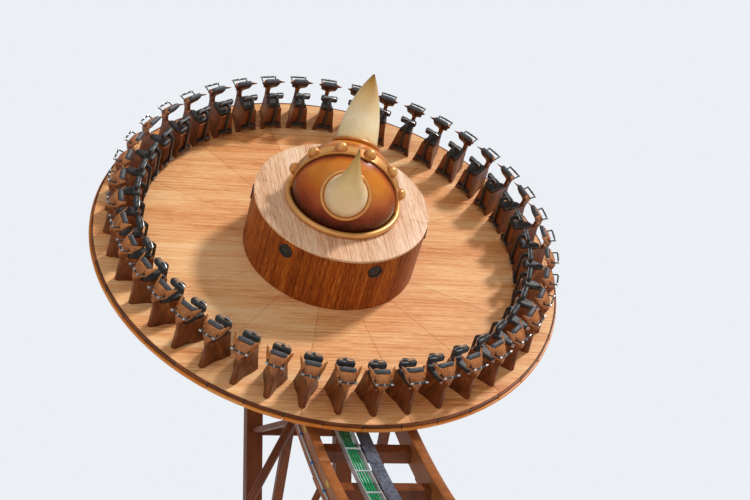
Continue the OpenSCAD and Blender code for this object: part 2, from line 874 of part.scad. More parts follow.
// A solid through two or more such rings, listed from the lowest up.
module loft(rings) {
    n = len(rings[0]);
    points = [for (r = rings) each r];
    sides = [for (k = [0 : len(rings) - 2], i = [0 : n - 1])
        let (a = k * n + i, b = k * n + (i + 1) % n)
        each [[a, a + n, b + n], [a, b + n, b]]];
    caps = [[for (i = [0 : n - 1]) i], [for (i = [n - 1 : -1 : 0]) (len(rings) - 1) * n + i]];
    polyhedron(points, concat(sides, caps));
}

module seat_pedestals() {
    foot = [[nose_foot, 15, 0], [nose_foot - 87, 68, 0], [rear_face + 130, foot_spread - 15, 0],
        [rear_face, foot_spread, 0]];
    top = [[nose_foot - 27, 28, pedestal_top], [nose_foot - 107, 50, pedestal_top],
        [rear_face + 270, waist_spread - 20, pedestal_top], [rear_face, waist_spread, pedestal_top]];
    neck_low = [[nose_foot - 32, 22, pedestal_top - 50], [nose_foot - 117, 40, pedestal_top - 50]];
    neck_high = [[cowl_tip - 8, 26, neck_top], [cowl_tip - 112, 36, neck_top]];
    color([0.45, 0.25, 0.12]) at_seats() {
        difference() {
            loft([both_sides(foot), both_sides(top)]);
            translate([rear_face - 1, 0, 0]) rotate([90, 0, 90]) linear_extrude(150)
                polygon([[-115, -1], [-85, arch_height], [85, arch_height], [115, -1]]);
        }
        loft([both_sides(neck_low), both_sides(neck_high)]);
    }
}

module seat_saddles() {
    low = [[saddle_front, 60, pedestal_top], [rear_face + 270, waist_spread - 18, pedestal_top],
        [saddle_rear, waist_spread, pedestal_top]];
    high = [for (p = [[saddle_front - 12, 52], [rear_face + 270, waist_spread - 26], [saddle_rear, waist_spread - 8]])
        [p[0], p[1], pedestal_top + saddle_thickness + saddle_rise * (saddle_front - p[0]) / (saddle_front - saddle_rear)]];
    color([0.15, 0.13, 0.12]) at_seats() loft([both_sides(low), both_sides(high)]);
}

module cowl_shape() {
    half = cowl_width / 2;
    loft([
        both_sides([[cowl_tip - 10, 22, neck_top], [cowl_tip - 110, 32, neck_top]]),
        both_sides([[cowl_tip, 24, neck_top + 45], [cowl_tip - 120, 45, neck_top + 45]]),
        both_sides([[face_low_out, face_low_width / 2, face_low_up], [cowl_rear_out + 50, half - 17, face_low_up - 55]]),
        both_sides([[face_top_out, face_top_width / 2, face_top_up], [cowl_rear_out, half, cowl_rear_up]]),
    ]);
}

module chest_shields() {
    color([0.5, 0.28, 0.14]) at_seats() cowl_shape();
}

// The pad stands on the cowl's sloping top.
module chest_pads() {
    front = [face_top_out, face_top_width / 2 - 5, face_top_up];
    rear = [cowl_rear_out, cowl_width / 2 - 7, cowl_rear_up];
    slope = front - rear;
    square_off = [-slope[2], 0, slope[0]] / norm([slope[0], slope[2]]) * chest_pad_thickness;
    foot = [front - 0.04 * slope, rear + 0.04 * slope];
    top = [for (p = foot) p + square_off + [0, -3, 0]];
    color([0.2, 0.2, 0.2]) at_seats() loft([both_sides(foot), both_sides(top)]);
}

module handlebars() {
    half = bar_width / 2 - bar_radius;
    color([0.1, 0.1, 0.1]) at_seats() difference() {
        translate([grip_out, 0, grip_up]) {
            translate([0, -half, 0]) rotate([-90, 0, 0]) cylinder(r = bar_radius, h = 2 * half, $fn = 24);
            for (side = [-1, 1]) translate([0, side * half, 0]) {
                rotate([0, -90 - atan2(grip_run[1], grip_run[0]), 0])
                    cylinder(r = bar_radius, h = norm(grip_run), $fn = 24);
                sphere(r = bar_radius, $fn = 24);
            }
        }
        cowl_shape();
    }
}

module back_pads() {
    color([0.08, 0.08, 0.08]) at_seats()
        block([back_face - back_pad_thickness, -back_pad_width / 2, back_pad_low],
            [back_face, back_pad_width / 2, back_pad_low + back_pad_height]);
}

module back_arms() {
    face = back_face - back_pad_thickness;
    rear = rear_face - 10 - stem_depth;
    bend = back_pad_low + 10;
    stem = [[face, bend + 90], [face - 45, bend + 90], [rear, bend + 30], [rear, stem_foot_low],
        [rear + stem_depth, stem_foot_low], [rear + stem_depth, bend], [face - 30, bend + 25], [face, bend + 25]];
    color([0.08, 0.08, 0.08]) at_seats() {
        side_view(stem_width) polygon(stem);
        block([rear, -stem_foot_width / 2, stem_foot_low],
            [rear_face, stem_foot_width / 2, stem_foot_low + stem_foot_height]);
    }
}

far_upper_beams();
far_lower_beams();
near_lower_beams();
near_upper_beams();
cross_ties();
drive_rail();
cable_tray();
tray_rungs();
power_cables();
conduit();
conduit_clips();
marker_plates();
end_stops();
buffers();
tower_columns();
tower_struts();
tower_diagonals();
tower_cross_members();
base_plates();
side_props();
prop_plates();
low_posts();
post_plates();
valley_sill();
chassis_sides();
chassis_deck();
running_wheels();
wheel_axles();
guide_wheels();
guide_pins();
drive_tyres();
drive_axles();
drive_motors();
bearing_lower();
bearing_upper();
hub();
deck();
deck_ribs();
edge_ring();
lip_ring();
drum_shell();
drum_top();
speaker_grilles();
helmet_brim();
helmet_dome();
helmet_band();
helmet_rivets();
horn_collars();
horns();
seat_pedestals();
seat_saddles();
chest_shields();
chest_pads();
handlebars();
back_pads();
back_arms();
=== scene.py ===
import math
import random

import bmesh
import bpy
import numpy as np
from mathutils import Matrix, Vector, noise


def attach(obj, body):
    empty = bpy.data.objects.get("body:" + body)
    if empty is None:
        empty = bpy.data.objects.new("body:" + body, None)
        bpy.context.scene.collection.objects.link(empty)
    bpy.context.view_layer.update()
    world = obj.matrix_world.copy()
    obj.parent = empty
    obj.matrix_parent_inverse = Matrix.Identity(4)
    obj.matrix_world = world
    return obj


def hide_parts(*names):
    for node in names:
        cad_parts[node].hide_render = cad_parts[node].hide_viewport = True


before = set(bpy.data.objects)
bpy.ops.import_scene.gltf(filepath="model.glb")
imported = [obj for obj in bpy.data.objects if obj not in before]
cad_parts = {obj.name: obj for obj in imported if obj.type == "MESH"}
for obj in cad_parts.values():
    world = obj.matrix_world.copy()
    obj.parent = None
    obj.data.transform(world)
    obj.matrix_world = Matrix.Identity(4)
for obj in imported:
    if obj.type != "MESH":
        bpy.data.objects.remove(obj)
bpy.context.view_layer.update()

random.seed(7)

# Sizes of the ride, in metres and degrees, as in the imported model
ride_angle = 51.3
rail_radius = 13.25
arc_height = 14.306
track_half_angle = 64
gauge = 1.53
beam_width = 0.16
beam_depth = 0.39
tie_drop = 0.15
tie_width = 0.22
tie_depth = 0.19
tie_count = 28
tie_margin = 1.7
column_distance = 11.657
post_distance = 4.5
prop_feet = ((8.907, 2.8), (7.11, 2.15))
column_bolts = 0.2
deck_height = 0.8
deck_thickness = 0.06
drum_radius = 1.387
drum_height = 0.99
drum_wall = 0.04
drum_top = 0.04
grille_height = 0.8
grille_count = 6
grille_turn = 14
dome_radius = 0.822
dome_foot = 0.17
brim_section = 0.049
band_width = 0.21
band_thickness = 0.035
rivet_radius = 0.097
rivet_count = 6
horn_direction = -16.8
horn_root_angle = 36
collar_radius = 0.362
collar_section = 0.03
horn_tip = (0.968, 1.786)
horn_lead = 0.617
horn_bow = (0.264, -0.419)
horn_fullness = 1.75
horn_taper = 1.35
seat_count = 42
seat_turn = 1.4

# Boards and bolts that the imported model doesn't have: how many, and where the first joint lies
panel_count = 14
panel_turn = -15.6
edge_count = 40
edge_turn = 7.55
plank_count = 64
plank_turn = 27.7
cover_turn = -18
plate_bolts = 0.14

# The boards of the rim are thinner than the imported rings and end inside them; the grilles are wider
rim_radius = 3.766
edge_board = 0.026
edge_height = 0.067
lip_height = 0.052
lip_width = 0.08
lip_overhang = 0.026
grille_radius = 0.116


def on_track(angle):
    """The place on the rails' running surface at an angle along the track, in degrees."""
    turn = Matrix.Rotation(math.radians(angle), 4, "Y")
    return Matrix.Translation((0, 0, arc_height)) @ turn @ Matrix.Translation((0, 0, -rail_radius))


platform = on_track(ride_angle) @ Matrix.Translation((0, 0, deck_height))
drum_head = platform @ Matrix.Translation((0, 0, drum_height + drum_top))
helmet = drum_head @ Matrix.Rotation(math.radians(horn_direction), 4, "Z")


def spin(angle):
    """A turn about the upright axis, in degrees."""
    return Matrix.Rotation(math.radians(angle), 4, "Z")


# Materials


def paint(red, green, blue):
    """A screen colour, 0 to 255, as the shader's linear colour."""
    def linear(v):
        v /= 255
        return v / 12.92 if v <= 0.04045 else ((v + 0.055) / 1.055) ** 2.4
    return (linear(red), linear(green), linear(blue), 1)


class Finish:
    """A material being built: its nodes hang on one main shader."""

    def __init__(self, name, roughness=0.5, metallic=0.0, coat=0.0, specular=0.5):
        self.material = bpy.data.materials.new(name)
        self.material.use_nodes = True
        self.tree = self.material.node_tree
        self.shader = self.tree.nodes["Principled BSDF"]
        self.shader.inputs["Roughness"].default_value = roughness
        self.shader.inputs["Metallic"].default_value = metallic
        self.shader.inputs["Coat Weight"].default_value = coat
        self.shader.inputs["Coat Roughness"].default_value = 0.25
        self.shader.inputs["Specular IOR Level"].default_value = specular
        self.places = {}

    def node(self, kind, inputs=(), **settings):
        made = self.tree.nodes.new("ShaderNode" + kind)
        for key, value in settings.items():
            setattr(made, key, value)
        for key, value in inputs:
            if isinstance(value, bpy.types.NodeSocket):
                self.tree.links.new(value, made.inputs[key])
            else:
                made.inputs[key].default_value = value
        return made

    def place(self, own=False):
        """Where a point lies: on the object, or on its own copy of a repeated piece."""
        if own not in self.places:
            if own:
                tint = self.node("Attribute", attribute_name="tint").outputs["Fac"]
                spread = self.node("VectorMath", [(0, tint), (1, (17.3, 31.7, 11.9))], operation="MULTIPLY")
                start = self.node("Attribute", attribute_name="own").outputs["Vector"]
                self.places[own] = self.node("VectorMath", [(0, start), (1, spread.outputs[0])]).outputs[0]
            else:
                self.places[own] = self.node("TexCoord").outputs["Object"]
        return self.places[own]

    def noise(self, scale, detail=4, own=False, rough=0.55):
        """Noise with a scale for each axis."""
        scale = scale if isinstance(scale, tuple) else (scale, scale, scale)
        moved = self.node("VectorMath", [(0, self.place(own)), (1, scale)], operation="MULTIPLY")
        made = self.node("TexNoise", [("Vector", moved.outputs[0]), ("Scale", 1.0), ("Detail", detail),
                                      ("Roughness", rough)])
        return made.outputs["Fac"]

    def calc(self, operation, a, b=0.0):
        return self.node("Math", [(0, a), (1, b)], operation=operation).outputs[0]

    def blend(self, *parts):
        """The sum of (socket, weight) pairs."""
        total = None
        for socket, weight in parts:
            part = self.calc("MULTIPLY", socket, weight)
            total = part if total is None else self.calc("ADD", total, part)
        return total

    def ramp(self, factor, *stops):
        made = self.node("ValToRGB", [("Fac", factor)])
        elements = made.color_ramp.elements
        while len(elements) < len(stops):
            elements.new(0.5)
        for element, (position, colour) in zip(elements, stops):
            element.position = position
            element.color = colour
        return made.outputs["Color"]

    def mix(self, factor, a, b):
        return self.node("Mix", [(0, factor), (6, a), (7, b)], data_type="RGBA").outputs[2]

    def span(self, value, low, high, out_low=0.0, out_high=1.0):
        made = self.node("MapRange", [("Value", value), ("From Min", low), ("From Max", high),
                                      ("To Min", out_low), ("To Max", out_high)])
        return made.outputs["Result"]

    def colour(self, socket):
        self.tree.links.new(socket, self.shader.inputs["Base Color"])

    def roughness(self, socket):
        self.tree.links.new(socket, self.shader.inputs["Roughness"])

    def bump(self, height, distance, strength):
        made = self.node("Bump", [("Height", height), ("Distance", distance), ("Strength", strength)])
        self.tree.links.new(made.outputs["Normal"], self.shader.inputs["Normal"])


def wood(name, stops, axis, roughness, coat, own=False, tint=0.06, board=None, grain=1.0, dash=0.0):
    """Varnished boards whose grain runs along one axis; board is (axis across the boards, their width)."""
    f = Finish(name, roughness, coat=coat, specular=0.3)

    def stretched(across, along):
        return tuple(along if i == axis else across for i in range(3))

    broad = f.noise(stretched(2.0 * grain, 0.25), 3, own)
    streak = f.noise(stretched(30 * grain, 0.9), 5, own)
    hair = f.noise(stretched(120 * grain, 3), 4, own, 0.7)
    shade = f.node("Attribute", attribute_name="tint").outputs["Fac"]
    mixed = f.blend((broad, 0.42), (streak, 0.42), (hair, 0.3), (shade, tint))
    level = f.span(mixed, 0.38 + tint * 0.2, 0.76 + tint * 0.8)
    if dash:
        # Short light and dark dashes, as pressed bamboo shows them
        strand = f.noise(stretched(150, 7), 2, own, 0.4)
        level = f.blend((level, 1.0), (f.span(strand, 0.3, 0.7, -dash, dash), 1.0))
    height = f.blend((hair, 1.0), (streak, 0.6))
    if board:
        across, width = board
        spot = f.node("SeparateXYZ", [(0, f.place(own))]).outputs[across]
        step = f.calc("DIVIDE", spot, width)
        number = f.node("TexWhiteNoise", [("W", f.calc("FLOOR", step))], noise_dimensions="1D")
        level = f.blend((level, 1.0), (f.calc("SUBTRACT", number.outputs["Value"], 0.5), 0.12))
        edge = f.calc("ABSOLUTE", f.calc("SUBTRACT", f.calc("FRACT", step), 0.5))
        seam = f.span(edge, 0.5 - 0.0035 / width, 0.5 - 0.001 / width)
        level = f.calc("SUBTRACT", level, f.calc("MULTIPLY", seam, 0.3))
        height = f.calc("SUBTRACT", height, f.calc("MULTIPLY", seam, 1.0))
    f.colour(f.ramp(level, *stops))
    f.roughness(f.span(hair, 0.3, 0.7, roughness - 0.08, roughness + 0.12))
    f.bump(height, 0.0008, 0.5)
    return f.material


def painted_steel(name, colour, dark):
    """Satin paint with slow changes of tone, dust in streaks and a fine orange peel."""
    roughness = 0.42
    f = Finish(name, roughness, coat=0.05, specular=0.3)
    tone = f.noise(1.3, 3)
    streak = f.noise((9, 9, 0.9), 5)
    fleck = f.noise(60, 3)
    level = f.blend((tone, 0.5), (streak, 0.4), (fleck, 0.2))
    f.colour(f.ramp(f.span(level, 0.4, 0.72), (0, dark), (1, colour)))
    f.roughness(f.span(streak, 0.3, 0.7, roughness - 0.1, roughness + 0.14))
    f.bump(f.blend((f.noise(220, 2), 0.4), (tone, 1.0)), 0.0008, 0.5)
    return f.material


def bare_steel(name, colour, dark, roughness, metallic, spangle=55):
    """Zinc coat or worn steel with its crystals."""
    f = Finish(name, roughness, metallic)
    crystals = f.node("TexVoronoi", [("Vector", f.place()), ("Scale", spangle)])
    grey = f.node("SeparateColor", [(0, crystals.outputs["Color"])]).outputs[0]
    level = f.blend((grey, 0.35), (f.noise(3, 4), 0.8))
    f.colour(f.ramp(f.span(level, 0.3, 0.85), (0, dark), (1, colour)))
    f.roughness(f.span(grey, 0, 1, roughness - 0.08, roughness + 0.12))
    f.bump(f.noise(140, 3), 0.0005, 0.4)
    return f.material


def rubber(name, colour, dark, roughness=0.6, own=False, grain=300):
    f = Finish(name, roughness)
    f.colour(f.ramp(f.span(f.noise(14, 4, own), 0.35, 0.65), (0, dark), (1, colour)))
    f.roughness(f.span(f.noise(40, 3, own), 0.3, 0.7, roughness - 0.1, roughness + 0.1))
    f.bump(f.noise(grain, 2, own), 0.0006, 0.5)
    return f.material


def leather(name, colour, dark, seam):
    """Grained cover with a sewn line at a distance on each side of a copy's middle line; each line's groove
    is darkened as painted shade.
    """
    f = Finish(name, 0.5, coat=0.05)
    own = f.node("Attribute", attribute_name="own").outputs["Vector"]
    cells = f.node("TexVoronoi", [("Vector", own), ("Scale", 260)], feature="DISTANCE_TO_EDGE")
    grain = f.span(cells.outputs["Distance"], 0.0, 0.25)
    tone = f.noise(7, 4, True)
    level = f.blend((tone, 0.8), (grain, 0.25))
    height = f.blend((grain, 0.35), (f.noise(30, 3, True), 0.5))
    split = f.node("SeparateXYZ", [(0, own)])
    for place in (seam, -seam):
        far = f.calc("ABSOLUTE", f.calc("SUBTRACT", split.outputs[1], place))
        # The sewn line's groove is darkened as painted shade; the thread is its own lighter colour.
        line = f.span(far, 0.0045, 0.0015)
        stitch = f.calc("GREATER_THAN", f.calc("SINE", f.calc("MULTIPLY", split.outputs[0], 900)), -0.2)
        thread = f.calc("MULTIPLY", f.span(far, 0.0012, 0.0006), stitch)
        level = f.blend((level, 1.0), (line, -0.35), (thread, 0.5))
        height = f.blend((height, 1.0), (line, -3.0), (thread, 1.5))
    f.colour(f.ramp(f.span(level, 0.3, 0.85), (0, dark), (1, colour)))
    f.roughness(f.span(grain, 0, 1, 0.6, 0.42))
    f.bump(height, 0.001, 0.7)
    return f.material


def moulded(name, colour, dark, light, grooves=()):
    """Brown moulding with a wooden mottle, lightened and darkened by its ridge value as painted highlight and
    shade; grooves lie at distances from a copy's middle line.
    """
    roughness = 0.4
    f = Finish(name, roughness, coat=0.1, specular=0.35)
    patch = f.noise((9, 9, 5), 4, True)
    grain = f.noise((42, 42, 7), 5, True, 0.65)
    # ridge carries painted light: a highlight on the pedestals' crease, shade on the insides of the cowls'
    # wings, and a rise towards the top.
    painted_shading = f.node("Attribute", attribute_name="ridge").outputs["Fac"]
    level = f.blend((patch, 0.6), (grain, 0.45), (painted_shading, 0.35))
    height = f.blend((grain, 1.0), (patch, 1.2))
    if grooves:
        own = f.node("Attribute", attribute_name="own").outputs["Vector"]
        out = f.calc("ABSOLUTE", f.node("SeparateXYZ", [(0, own)]).outputs[1])
        for groove in grooves:
            # Each groove is darkened as painted shade.
            line = f.span(f.calc("ABSOLUTE", f.calc("SUBTRACT", out, groove)), 0.006, 0.002)
            level = f.blend((level, 1.0), (line, -0.22))
            height = f.blend((height, 1.0), (line, -1.2))
    f.colour(f.ramp(f.span(level, 0.36, 0.95), (0, dark), (0.5, colour), (1, light)))
    f.roughness(f.span(grain, 0.3, 0.7, roughness - 0.08, roughness + 0.14))
    f.bump(height, 0.002, 0.55)
    return f.material


def gold_paint(name):
    """Gold paint with brown in its hollows and on its lower sides, as painted shade."""
    f = Finish(name, 0.34, 0.35, coat=0.3)
    cloud = f.noise(5, 4)
    fine = f.noise(38, 4)
    shade = f.node("Attribute", attribute_name="ridge").outputs["Fac"]
    level = f.blend((cloud, 0.55), (fine, 0.2), (shade, 0.75))
    f.colour(f.ramp(f.span(level, 0.25, 1.15), (0, paint(146, 72, 16)), (0.45, paint(202, 124, 46)),
                    (1, paint(234, 172, 96))))
    f.roughness(f.span(fine, 0.3, 0.7, 0.28, 0.44))
    f.bump(f.blend((fine, 0.7), (f.noise(150, 2), 0.2)), 0.0012, 0.5)
    return f.material


def dome_paint():
    """Orange brown in the middle of each side, dark red brown towards the brim and the band."""
    f = Finish("dome_brown", 0.34, coat=0.12, specular=0.25)
    split = f.node("SeparateXYZ", [(0, f.place())])
    low = f.span(split.outputs[2], 0.08, 0.7, 1.0, 0.0)
    near = f.span(f.calc("ABSOLUTE", split.outputs[0]), band_width / 2, band_width / 2 + 0.15, 1.0, 0.0)
    cloud = f.noise(3.2, 5)
    fine = f.noise(24, 4)
    edge = f.calc("MAXIMUM", low, f.calc("POWER", near, 1.4))
    level = f.blend((edge, 0.95), (cloud, 0.5))
    f.colour(f.ramp(f.span(level, 0.18, 1.1), (0, paint(220, 132, 40)), (0.4, paint(188, 90, 14)),
                    (0.72, paint(136, 46, 2)), (1, paint(58, 10, 1))))
    f.roughness(f.span(fine, 0.3, 0.7, 0.24, 0.38))
    f.bump(f.noise(9, 3), 0.0015, 0.35)
    return f.material


def horn_paint():
    """Ivory with tan rings of shade and an olive tip; ridge runs from the root to the tip."""
    f = Finish("horn_ivory", 0.36, coat=0.2)
    run = f.node("Attribute", attribute_name="ridge").outputs["Fac"]
    cloud = f.noise(4, 4)
    streak = f.noise(18, 5)
    base = f.ramp(f.blend((run, 1.0), (f.calc("SUBTRACT", cloud, 0.5), 0.16)), (0, paint(206, 150, 88)),
                  (0.07, paint(244, 214, 160)), (0.28, paint(252, 232, 190)), (0.6, paint(236, 200, 136)),
                  (0.86, paint(196, 152, 72)), (1, paint(136, 100, 34)))
    f.colour(f.mix(f.span(streak, 0.35, 0.75, 0.0, 0.22), base, paint(212, 164, 94)))
    f.roughness(f.span(streak, 0.3, 0.7, 0.3, 0.46))
    f.bump(f.blend((streak, 0.8), (f.noise(90, 3), 0.3)), 0.0015, 0.45)
    return f.material


def grille_metal():
    """Black perforated sheet."""
    f = Finish("grille_black", 0.55)
    own = f.node("Attribute", attribute_name="own").outputs["Vector"]
    holes = f.node("TexVoronoi", [("Vector", own), ("Scale", 130), ("Randomness", 0.0)])
    hole = f.span(holes.outputs["Distance"], 0.26, 0.34, 1.0, 0.0)
    f.colour(f.ramp(hole, (0, paint(46, 44, 42)), (1, paint(8, 8, 8))))
    f.bump(hole, -0.0015, 0.8)
    return f.material


deck_stops = ((0, paint(172, 90, 40)), (0.3, paint(222, 143, 80)), (0.6, paint(244, 184, 124)),
              (1, paint(253, 218, 168)))
wall_stops = ((0, paint(80, 28, 3)), (0.35, paint(134, 56, 8)), (0.7, paint(176, 88, 18)),
              (1, paint(222, 142, 54)))
top_stops = ((0, paint(158, 98, 58)), (0.35, paint(222, 168, 124)), (0.7, paint(243, 204, 168)),
             (1, paint(251, 226, 200)))
# The rim's edge boards are dark brown as painted shade on their upright face.
shaded_edge_stops = ((0, paint(66, 26, 6)), (0.5, paint(114, 54, 16)), (1, paint(170, 98, 42)))
lip_stops = ((0, paint(172, 84, 18)), (0.5, paint(226, 132, 46)), (1, paint(246, 174, 90)))

deck_wood = wood("deck_boards", deck_stops, 1, 0.42, 0.05, board=(0, 0.145), dash=0.14)
wall_wood = wood("wall_planks", wall_stops, 2, 0.42, 0.0, tint=0.1, grain=1.6, dash=0.3)
top_wood = wood("top_boards", top_stops, 0, 0.36, 0.15, board=(1, 0.13), dash=0.26)
shaded_edge_wood = wood("edge_boards", shaded_edge_stops, 1, 0.5, 0.1, own=True)
lip_wood = wood("lip_boards", lip_stops, 1, 0.4, 0.1, own=True)
brown_steel = painted_steel("brown_paint", paint(178, 106, 54), paint(126, 70, 32))
# The supports' paint is the beams' brown made darker as painted shade: a lit copy for the beams, a shaded
# copy for the supports and tie welds.
shaded_support_steel = painted_steel("shaded_support_paint", paint(138, 72, 32), paint(88, 40, 15))
dark_steel = painted_steel("grey_paint", paint(74, 76, 82), paint(42, 43, 47))
blue_steel = painted_steel("blue_paint", paint(58, 78, 112), paint(36, 48, 72))
yellow_paint = painted_steel("yellow_paint", paint(226, 178, 40), paint(186, 138, 26))
zinc = bare_steel("galvanised", paint(222, 228, 228), paint(176, 184, 186), 0.42, 0.35)
rail_steel = bare_steel("worn_rail", paint(128, 134, 150), paint(82, 87, 102), 0.4, 0.5, 26)
bright_steel = bare_steel("bright_steel", paint(208, 208, 208), paint(150, 150, 152), 0.26, 0.95, 90)
black_rubber = rubber("black_rubber", paint(44, 43, 42), paint(24, 24, 24))
grip_rubber = rubber("grip_rubber", paint(40, 39, 38), paint(18, 18, 18), 0.5, True)
green_sheath = rubber("green_sheath", paint(24, 164, 102), paint(8, 120, 72), 0.42)
blue_plastic = rubber("blue_plastic", paint(52, 126, 196), paint(30, 92, 160), 0.4)
black_frame = rubber("black_frame", paint(50, 48, 46), paint(26, 25, 24), 0.45, True, 120)
saddle_cover = leather("saddle_cover", paint(66, 60, 56), paint(36, 32, 30), 0.062)
chest_cover = leather("chest_cover", paint(92, 92, 96), paint(58, 58, 62), 0.092)
back_cover = leather("back_cover", paint(52, 51, 52), paint(22, 22, 23), 0.1)
pedestal_brown = moulded("pedestal_brown", paint(126, 66, 30), paint(68, 30, 12), paint(186, 116, 62))
cowl_brown = moulded("cowl_brown", paint(160, 90, 42), paint(72, 32, 12), paint(208, 136, 76),
                     grooves=(0.076, 0.108))
gold = gold_paint("helmet_gold")
dome_brown = dome_paint()
ivory = horn_paint()
grille_black = grille_metal()

# Mesh tools


def prism(bm, outline, low, high):
    """A closed solid between two heights over an outline of (x, y) points."""
    bottom = [bm.verts.new((x, y, low)) for x, y in outline]
    top = [bm.verts.new((x, y, high)) for x, y in outline]
    bm.faces.new(bottom[::-1])
    bm.faces.new(top)
    for i in range(len(outline)):
        j = (i + 1) % len(outline)
        bm.faces.new((bottom[i], bottom[j], top[j], top[i]))


def loft(bm, rings, closed=False):
    """A solid through rings of points; closed joins the last ring to the first and leaves out the ends."""
    made = [[bm.verts.new(p) for p in ring] for ring in rings]
    count = len(rings[0])
    spans = list(zip(made, made[1:])) + ([(made[-1], made[0])] if closed else [])
    for lower, upper in spans:
        for i in range(count):
            j = (i + 1) % count
            bm.faces.new((lower[i], lower[j], upper[j], upper[i]))
    if not closed:
        bm.faces.new(made[0][::-1])
        bm.faces.new(made[-1])


def block(bm, low, high):
    """A box between two corners."""
    outline = [(low[0], low[1]), (high[0], low[1]), (high[0], high[1]), (low[0], high[1])]
    prism(bm, outline, low[2], high[2])


def arc(radius, start, end, steps):
    """Points of an arc round the middle, in degrees."""
    angles = [math.radians(start + (end - start) * i / steps) for i in range(steps + 1)]
    return [(radius * math.cos(a), radius * math.sin(a)) for a in angles]


def turns(count):
    """The angles of a full turn in even steps, in radians."""
    return np.linspace(0, 2 * math.pi, count, endpoint=False)


def circle(radius, height, count):
    return [(radius * math.cos(a), radius * math.sin(a), height) for a in turns(count)]


def sector(bm, inner, outer, start, end, low, high, steps):
    """A flat piece of a ring between two angles, in degrees."""
    prism(bm, arc(outer, start, end, steps) + arc(inner, end, start, steps), low, high)


def turned(bm, profile, steps, place=None):
    """A closed profile of (radius, height) points turned round the vertical."""
    rings = []
    for i in range(steps):
        a = 2 * math.pi * i / steps
        ring = [Vector((r * math.cos(a), r * math.sin(a), z)) for r, z in profile]
        rings.append([place @ p for p in ring] if place else ring)
    loft(bm, rings, closed=True)


def tube(bm, points, radius, sides):
    """A round bar along points."""
    rings = []
    points = [Vector(p) for p in points]
    side = None
    for i, point in enumerate(points):
        run = (points[min(i + 1, len(points) - 1)] - points[max(i - 1, 0)]).normalized()
        if side is None:
            side = run.orthogonal().normalized()
        side = (side - run * side.dot(run)).normalized()
        up = run.cross(side)
        ring = []
        for k in range(sides):
            a = 2 * math.pi * k / sides
            ring.append(point + radius * (math.cos(a) * side + math.sin(a) * up))
        rings.append(ring)
    loft(bm, rings)


def soften(bm, width, segments=2, least=25):
    """Rounds every edge sharper than an angle."""
    bmesh.ops.recalc_face_normals(bm, faces=bm.faces)
    sharp = [e for e in bm.edges if len(e.link_faces) == 2 and e.calc_face_angle(0) > math.radians(least)]
    bmesh.ops.bevel(bm, geom=sharp, offset=width, segments=segments, profile=0.5, affect="EDGES",
                    clamp_overlap=True)


def to_mesh(bm, name):
    bmesh.ops.recalc_face_normals(bm, faces=bm.faces)
    mesh = bpy.data.meshes.new(name)
    bm.to_mesh(mesh)
    bm.free()
    return mesh


def numbers(collection, key, kind, width=1):
    """One property of all elements, as an array."""
    values = np.empty(len(collection) * width, dtype=kind)
    collection.foreach_get(key, values)
    return values


def copies(name, base, places, tints=None):
    """One mesh with a copy of the base at each place; each copy knows its own coordinates and tint."""
    points = numbers(base.vertices, "co", np.float32, 3).reshape(-1, 3)
    corners = numbers(base.loops, "vertex_index", np.int32)
    starts = numbers(base.polygons, "loop_start", np.int32)
    ridge = np.zeros(len(points), dtype=np.float32)
    if "ridge" in base.attributes:
        base.attributes["ridge"].data.foreach_get("value", ridge)
    count = len(places)
    tints = tints or [random.random() for _ in places]
    mesh = bpy.data.meshes.new(name)
    mesh.vertices.add(len(points) * count)
    mesh.loops.add(len(corners) * count)
    mesh.polygons.add(len(starts) * count)
    moved = []
    for place in places:
        m = np.array(place, dtype=np.float32)
        moved.append(points @ m[:3, :3].T + m[:3, 3])
    mesh.vertices.foreach_set("co", np.concatenate(moved).ravel())
    mesh.loops.foreach_set("vertex_index", np.concatenate([corners + i * len(points) for i in range(count)]))
    mesh.polygons.foreach_set("loop_start", np.concatenate([starts + i * len(corners) for i in range(count)]))
    mesh.update(calc_edges=True)
    store(mesh, "own", "FLOAT_VECTOR", np.tile(points, (count, 1)).ravel())
    store(mesh, "ridge", "FLOAT", np.tile(ridge, count))
    store(mesh, "tint", "FLOAT", np.repeat(np.array(tints, dtype=np.float32), len(points)))
    return mesh


def store(mesh, name, kind, values):
    """Gives each point of a mesh a value that its material reads."""
    made = mesh.attributes.new(name, kind, "POINT")
    made.data.foreach_set("vector" if kind == "FLOAT_VECTOR" else "value", values)


def piece(name, mesh, material, body, place=None, nodes=(), smooth=32):
    """Puts a mesh into the scene as a piece that rides on a body."""
    if "own" not in mesh.attributes:
        points = numbers(mesh.vertices, "co", np.float32, 3)
        store(mesh, "own", "FLOAT_VECTOR", points)
    if "tint" not in mesh.attributes:
        store(mesh, "tint", "FLOAT", np.full(len(mesh.vertices), 0.5, dtype=np.float32))
    mesh.shade_smooth()
    mesh.set_sharp_from_angle(angle=math.radians(smooth))
    mesh.materials.append(material)
    made = bpy.data.objects.new(name, mesh)
    bpy.context.scene.collection.objects.link(made)
    if place is not None:
        made.matrix_world = place
    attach(made, body)
    if nodes:
        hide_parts(*nodes)
    return made


def row(name, base, places, material, nodes=(), smooth=32, on=platform, tints=None):
    """Copies of one mesh, as one piece that turns with the platform."""
    mesh = copies(name, base, places, tints)
    return piece(name, mesh, material, "platform", on, nodes, smooth)


# The platform's boards


def make_deck():
    gap = math.degrees(0.003 / rim_radius)
    inner = drum_radius - drum_wall / 2
    outer = rim_radius - edge_board - 0.003
    step = 360 / panel_count
    bm = bmesh.new()
    sector(bm, inner, outer, gap, step - gap, -deck_thickness, 0, 16)
    soften(bm, 0.0025, 1)
    places = [spin(panel_turn + i * step) for i in range(panel_count)]
    row("deck_panels", to_mesh(bm, "deck_panel"), places, deck_wood, ["deck"])
    # The sheet under the panels shows only through their seams, where its dark wood is painted shade.
    bm = bmesh.new()
    hub_hole = 0.3
    sector(bm, hub_hole, outer - 0.02, 0, 359.9, -deck_thickness + 0.004, -deck_thickness / 2, 96)
    piece("deck_under", to_mesh(bm, "deck_under"), shaded_edge_wood, "platform", platform)


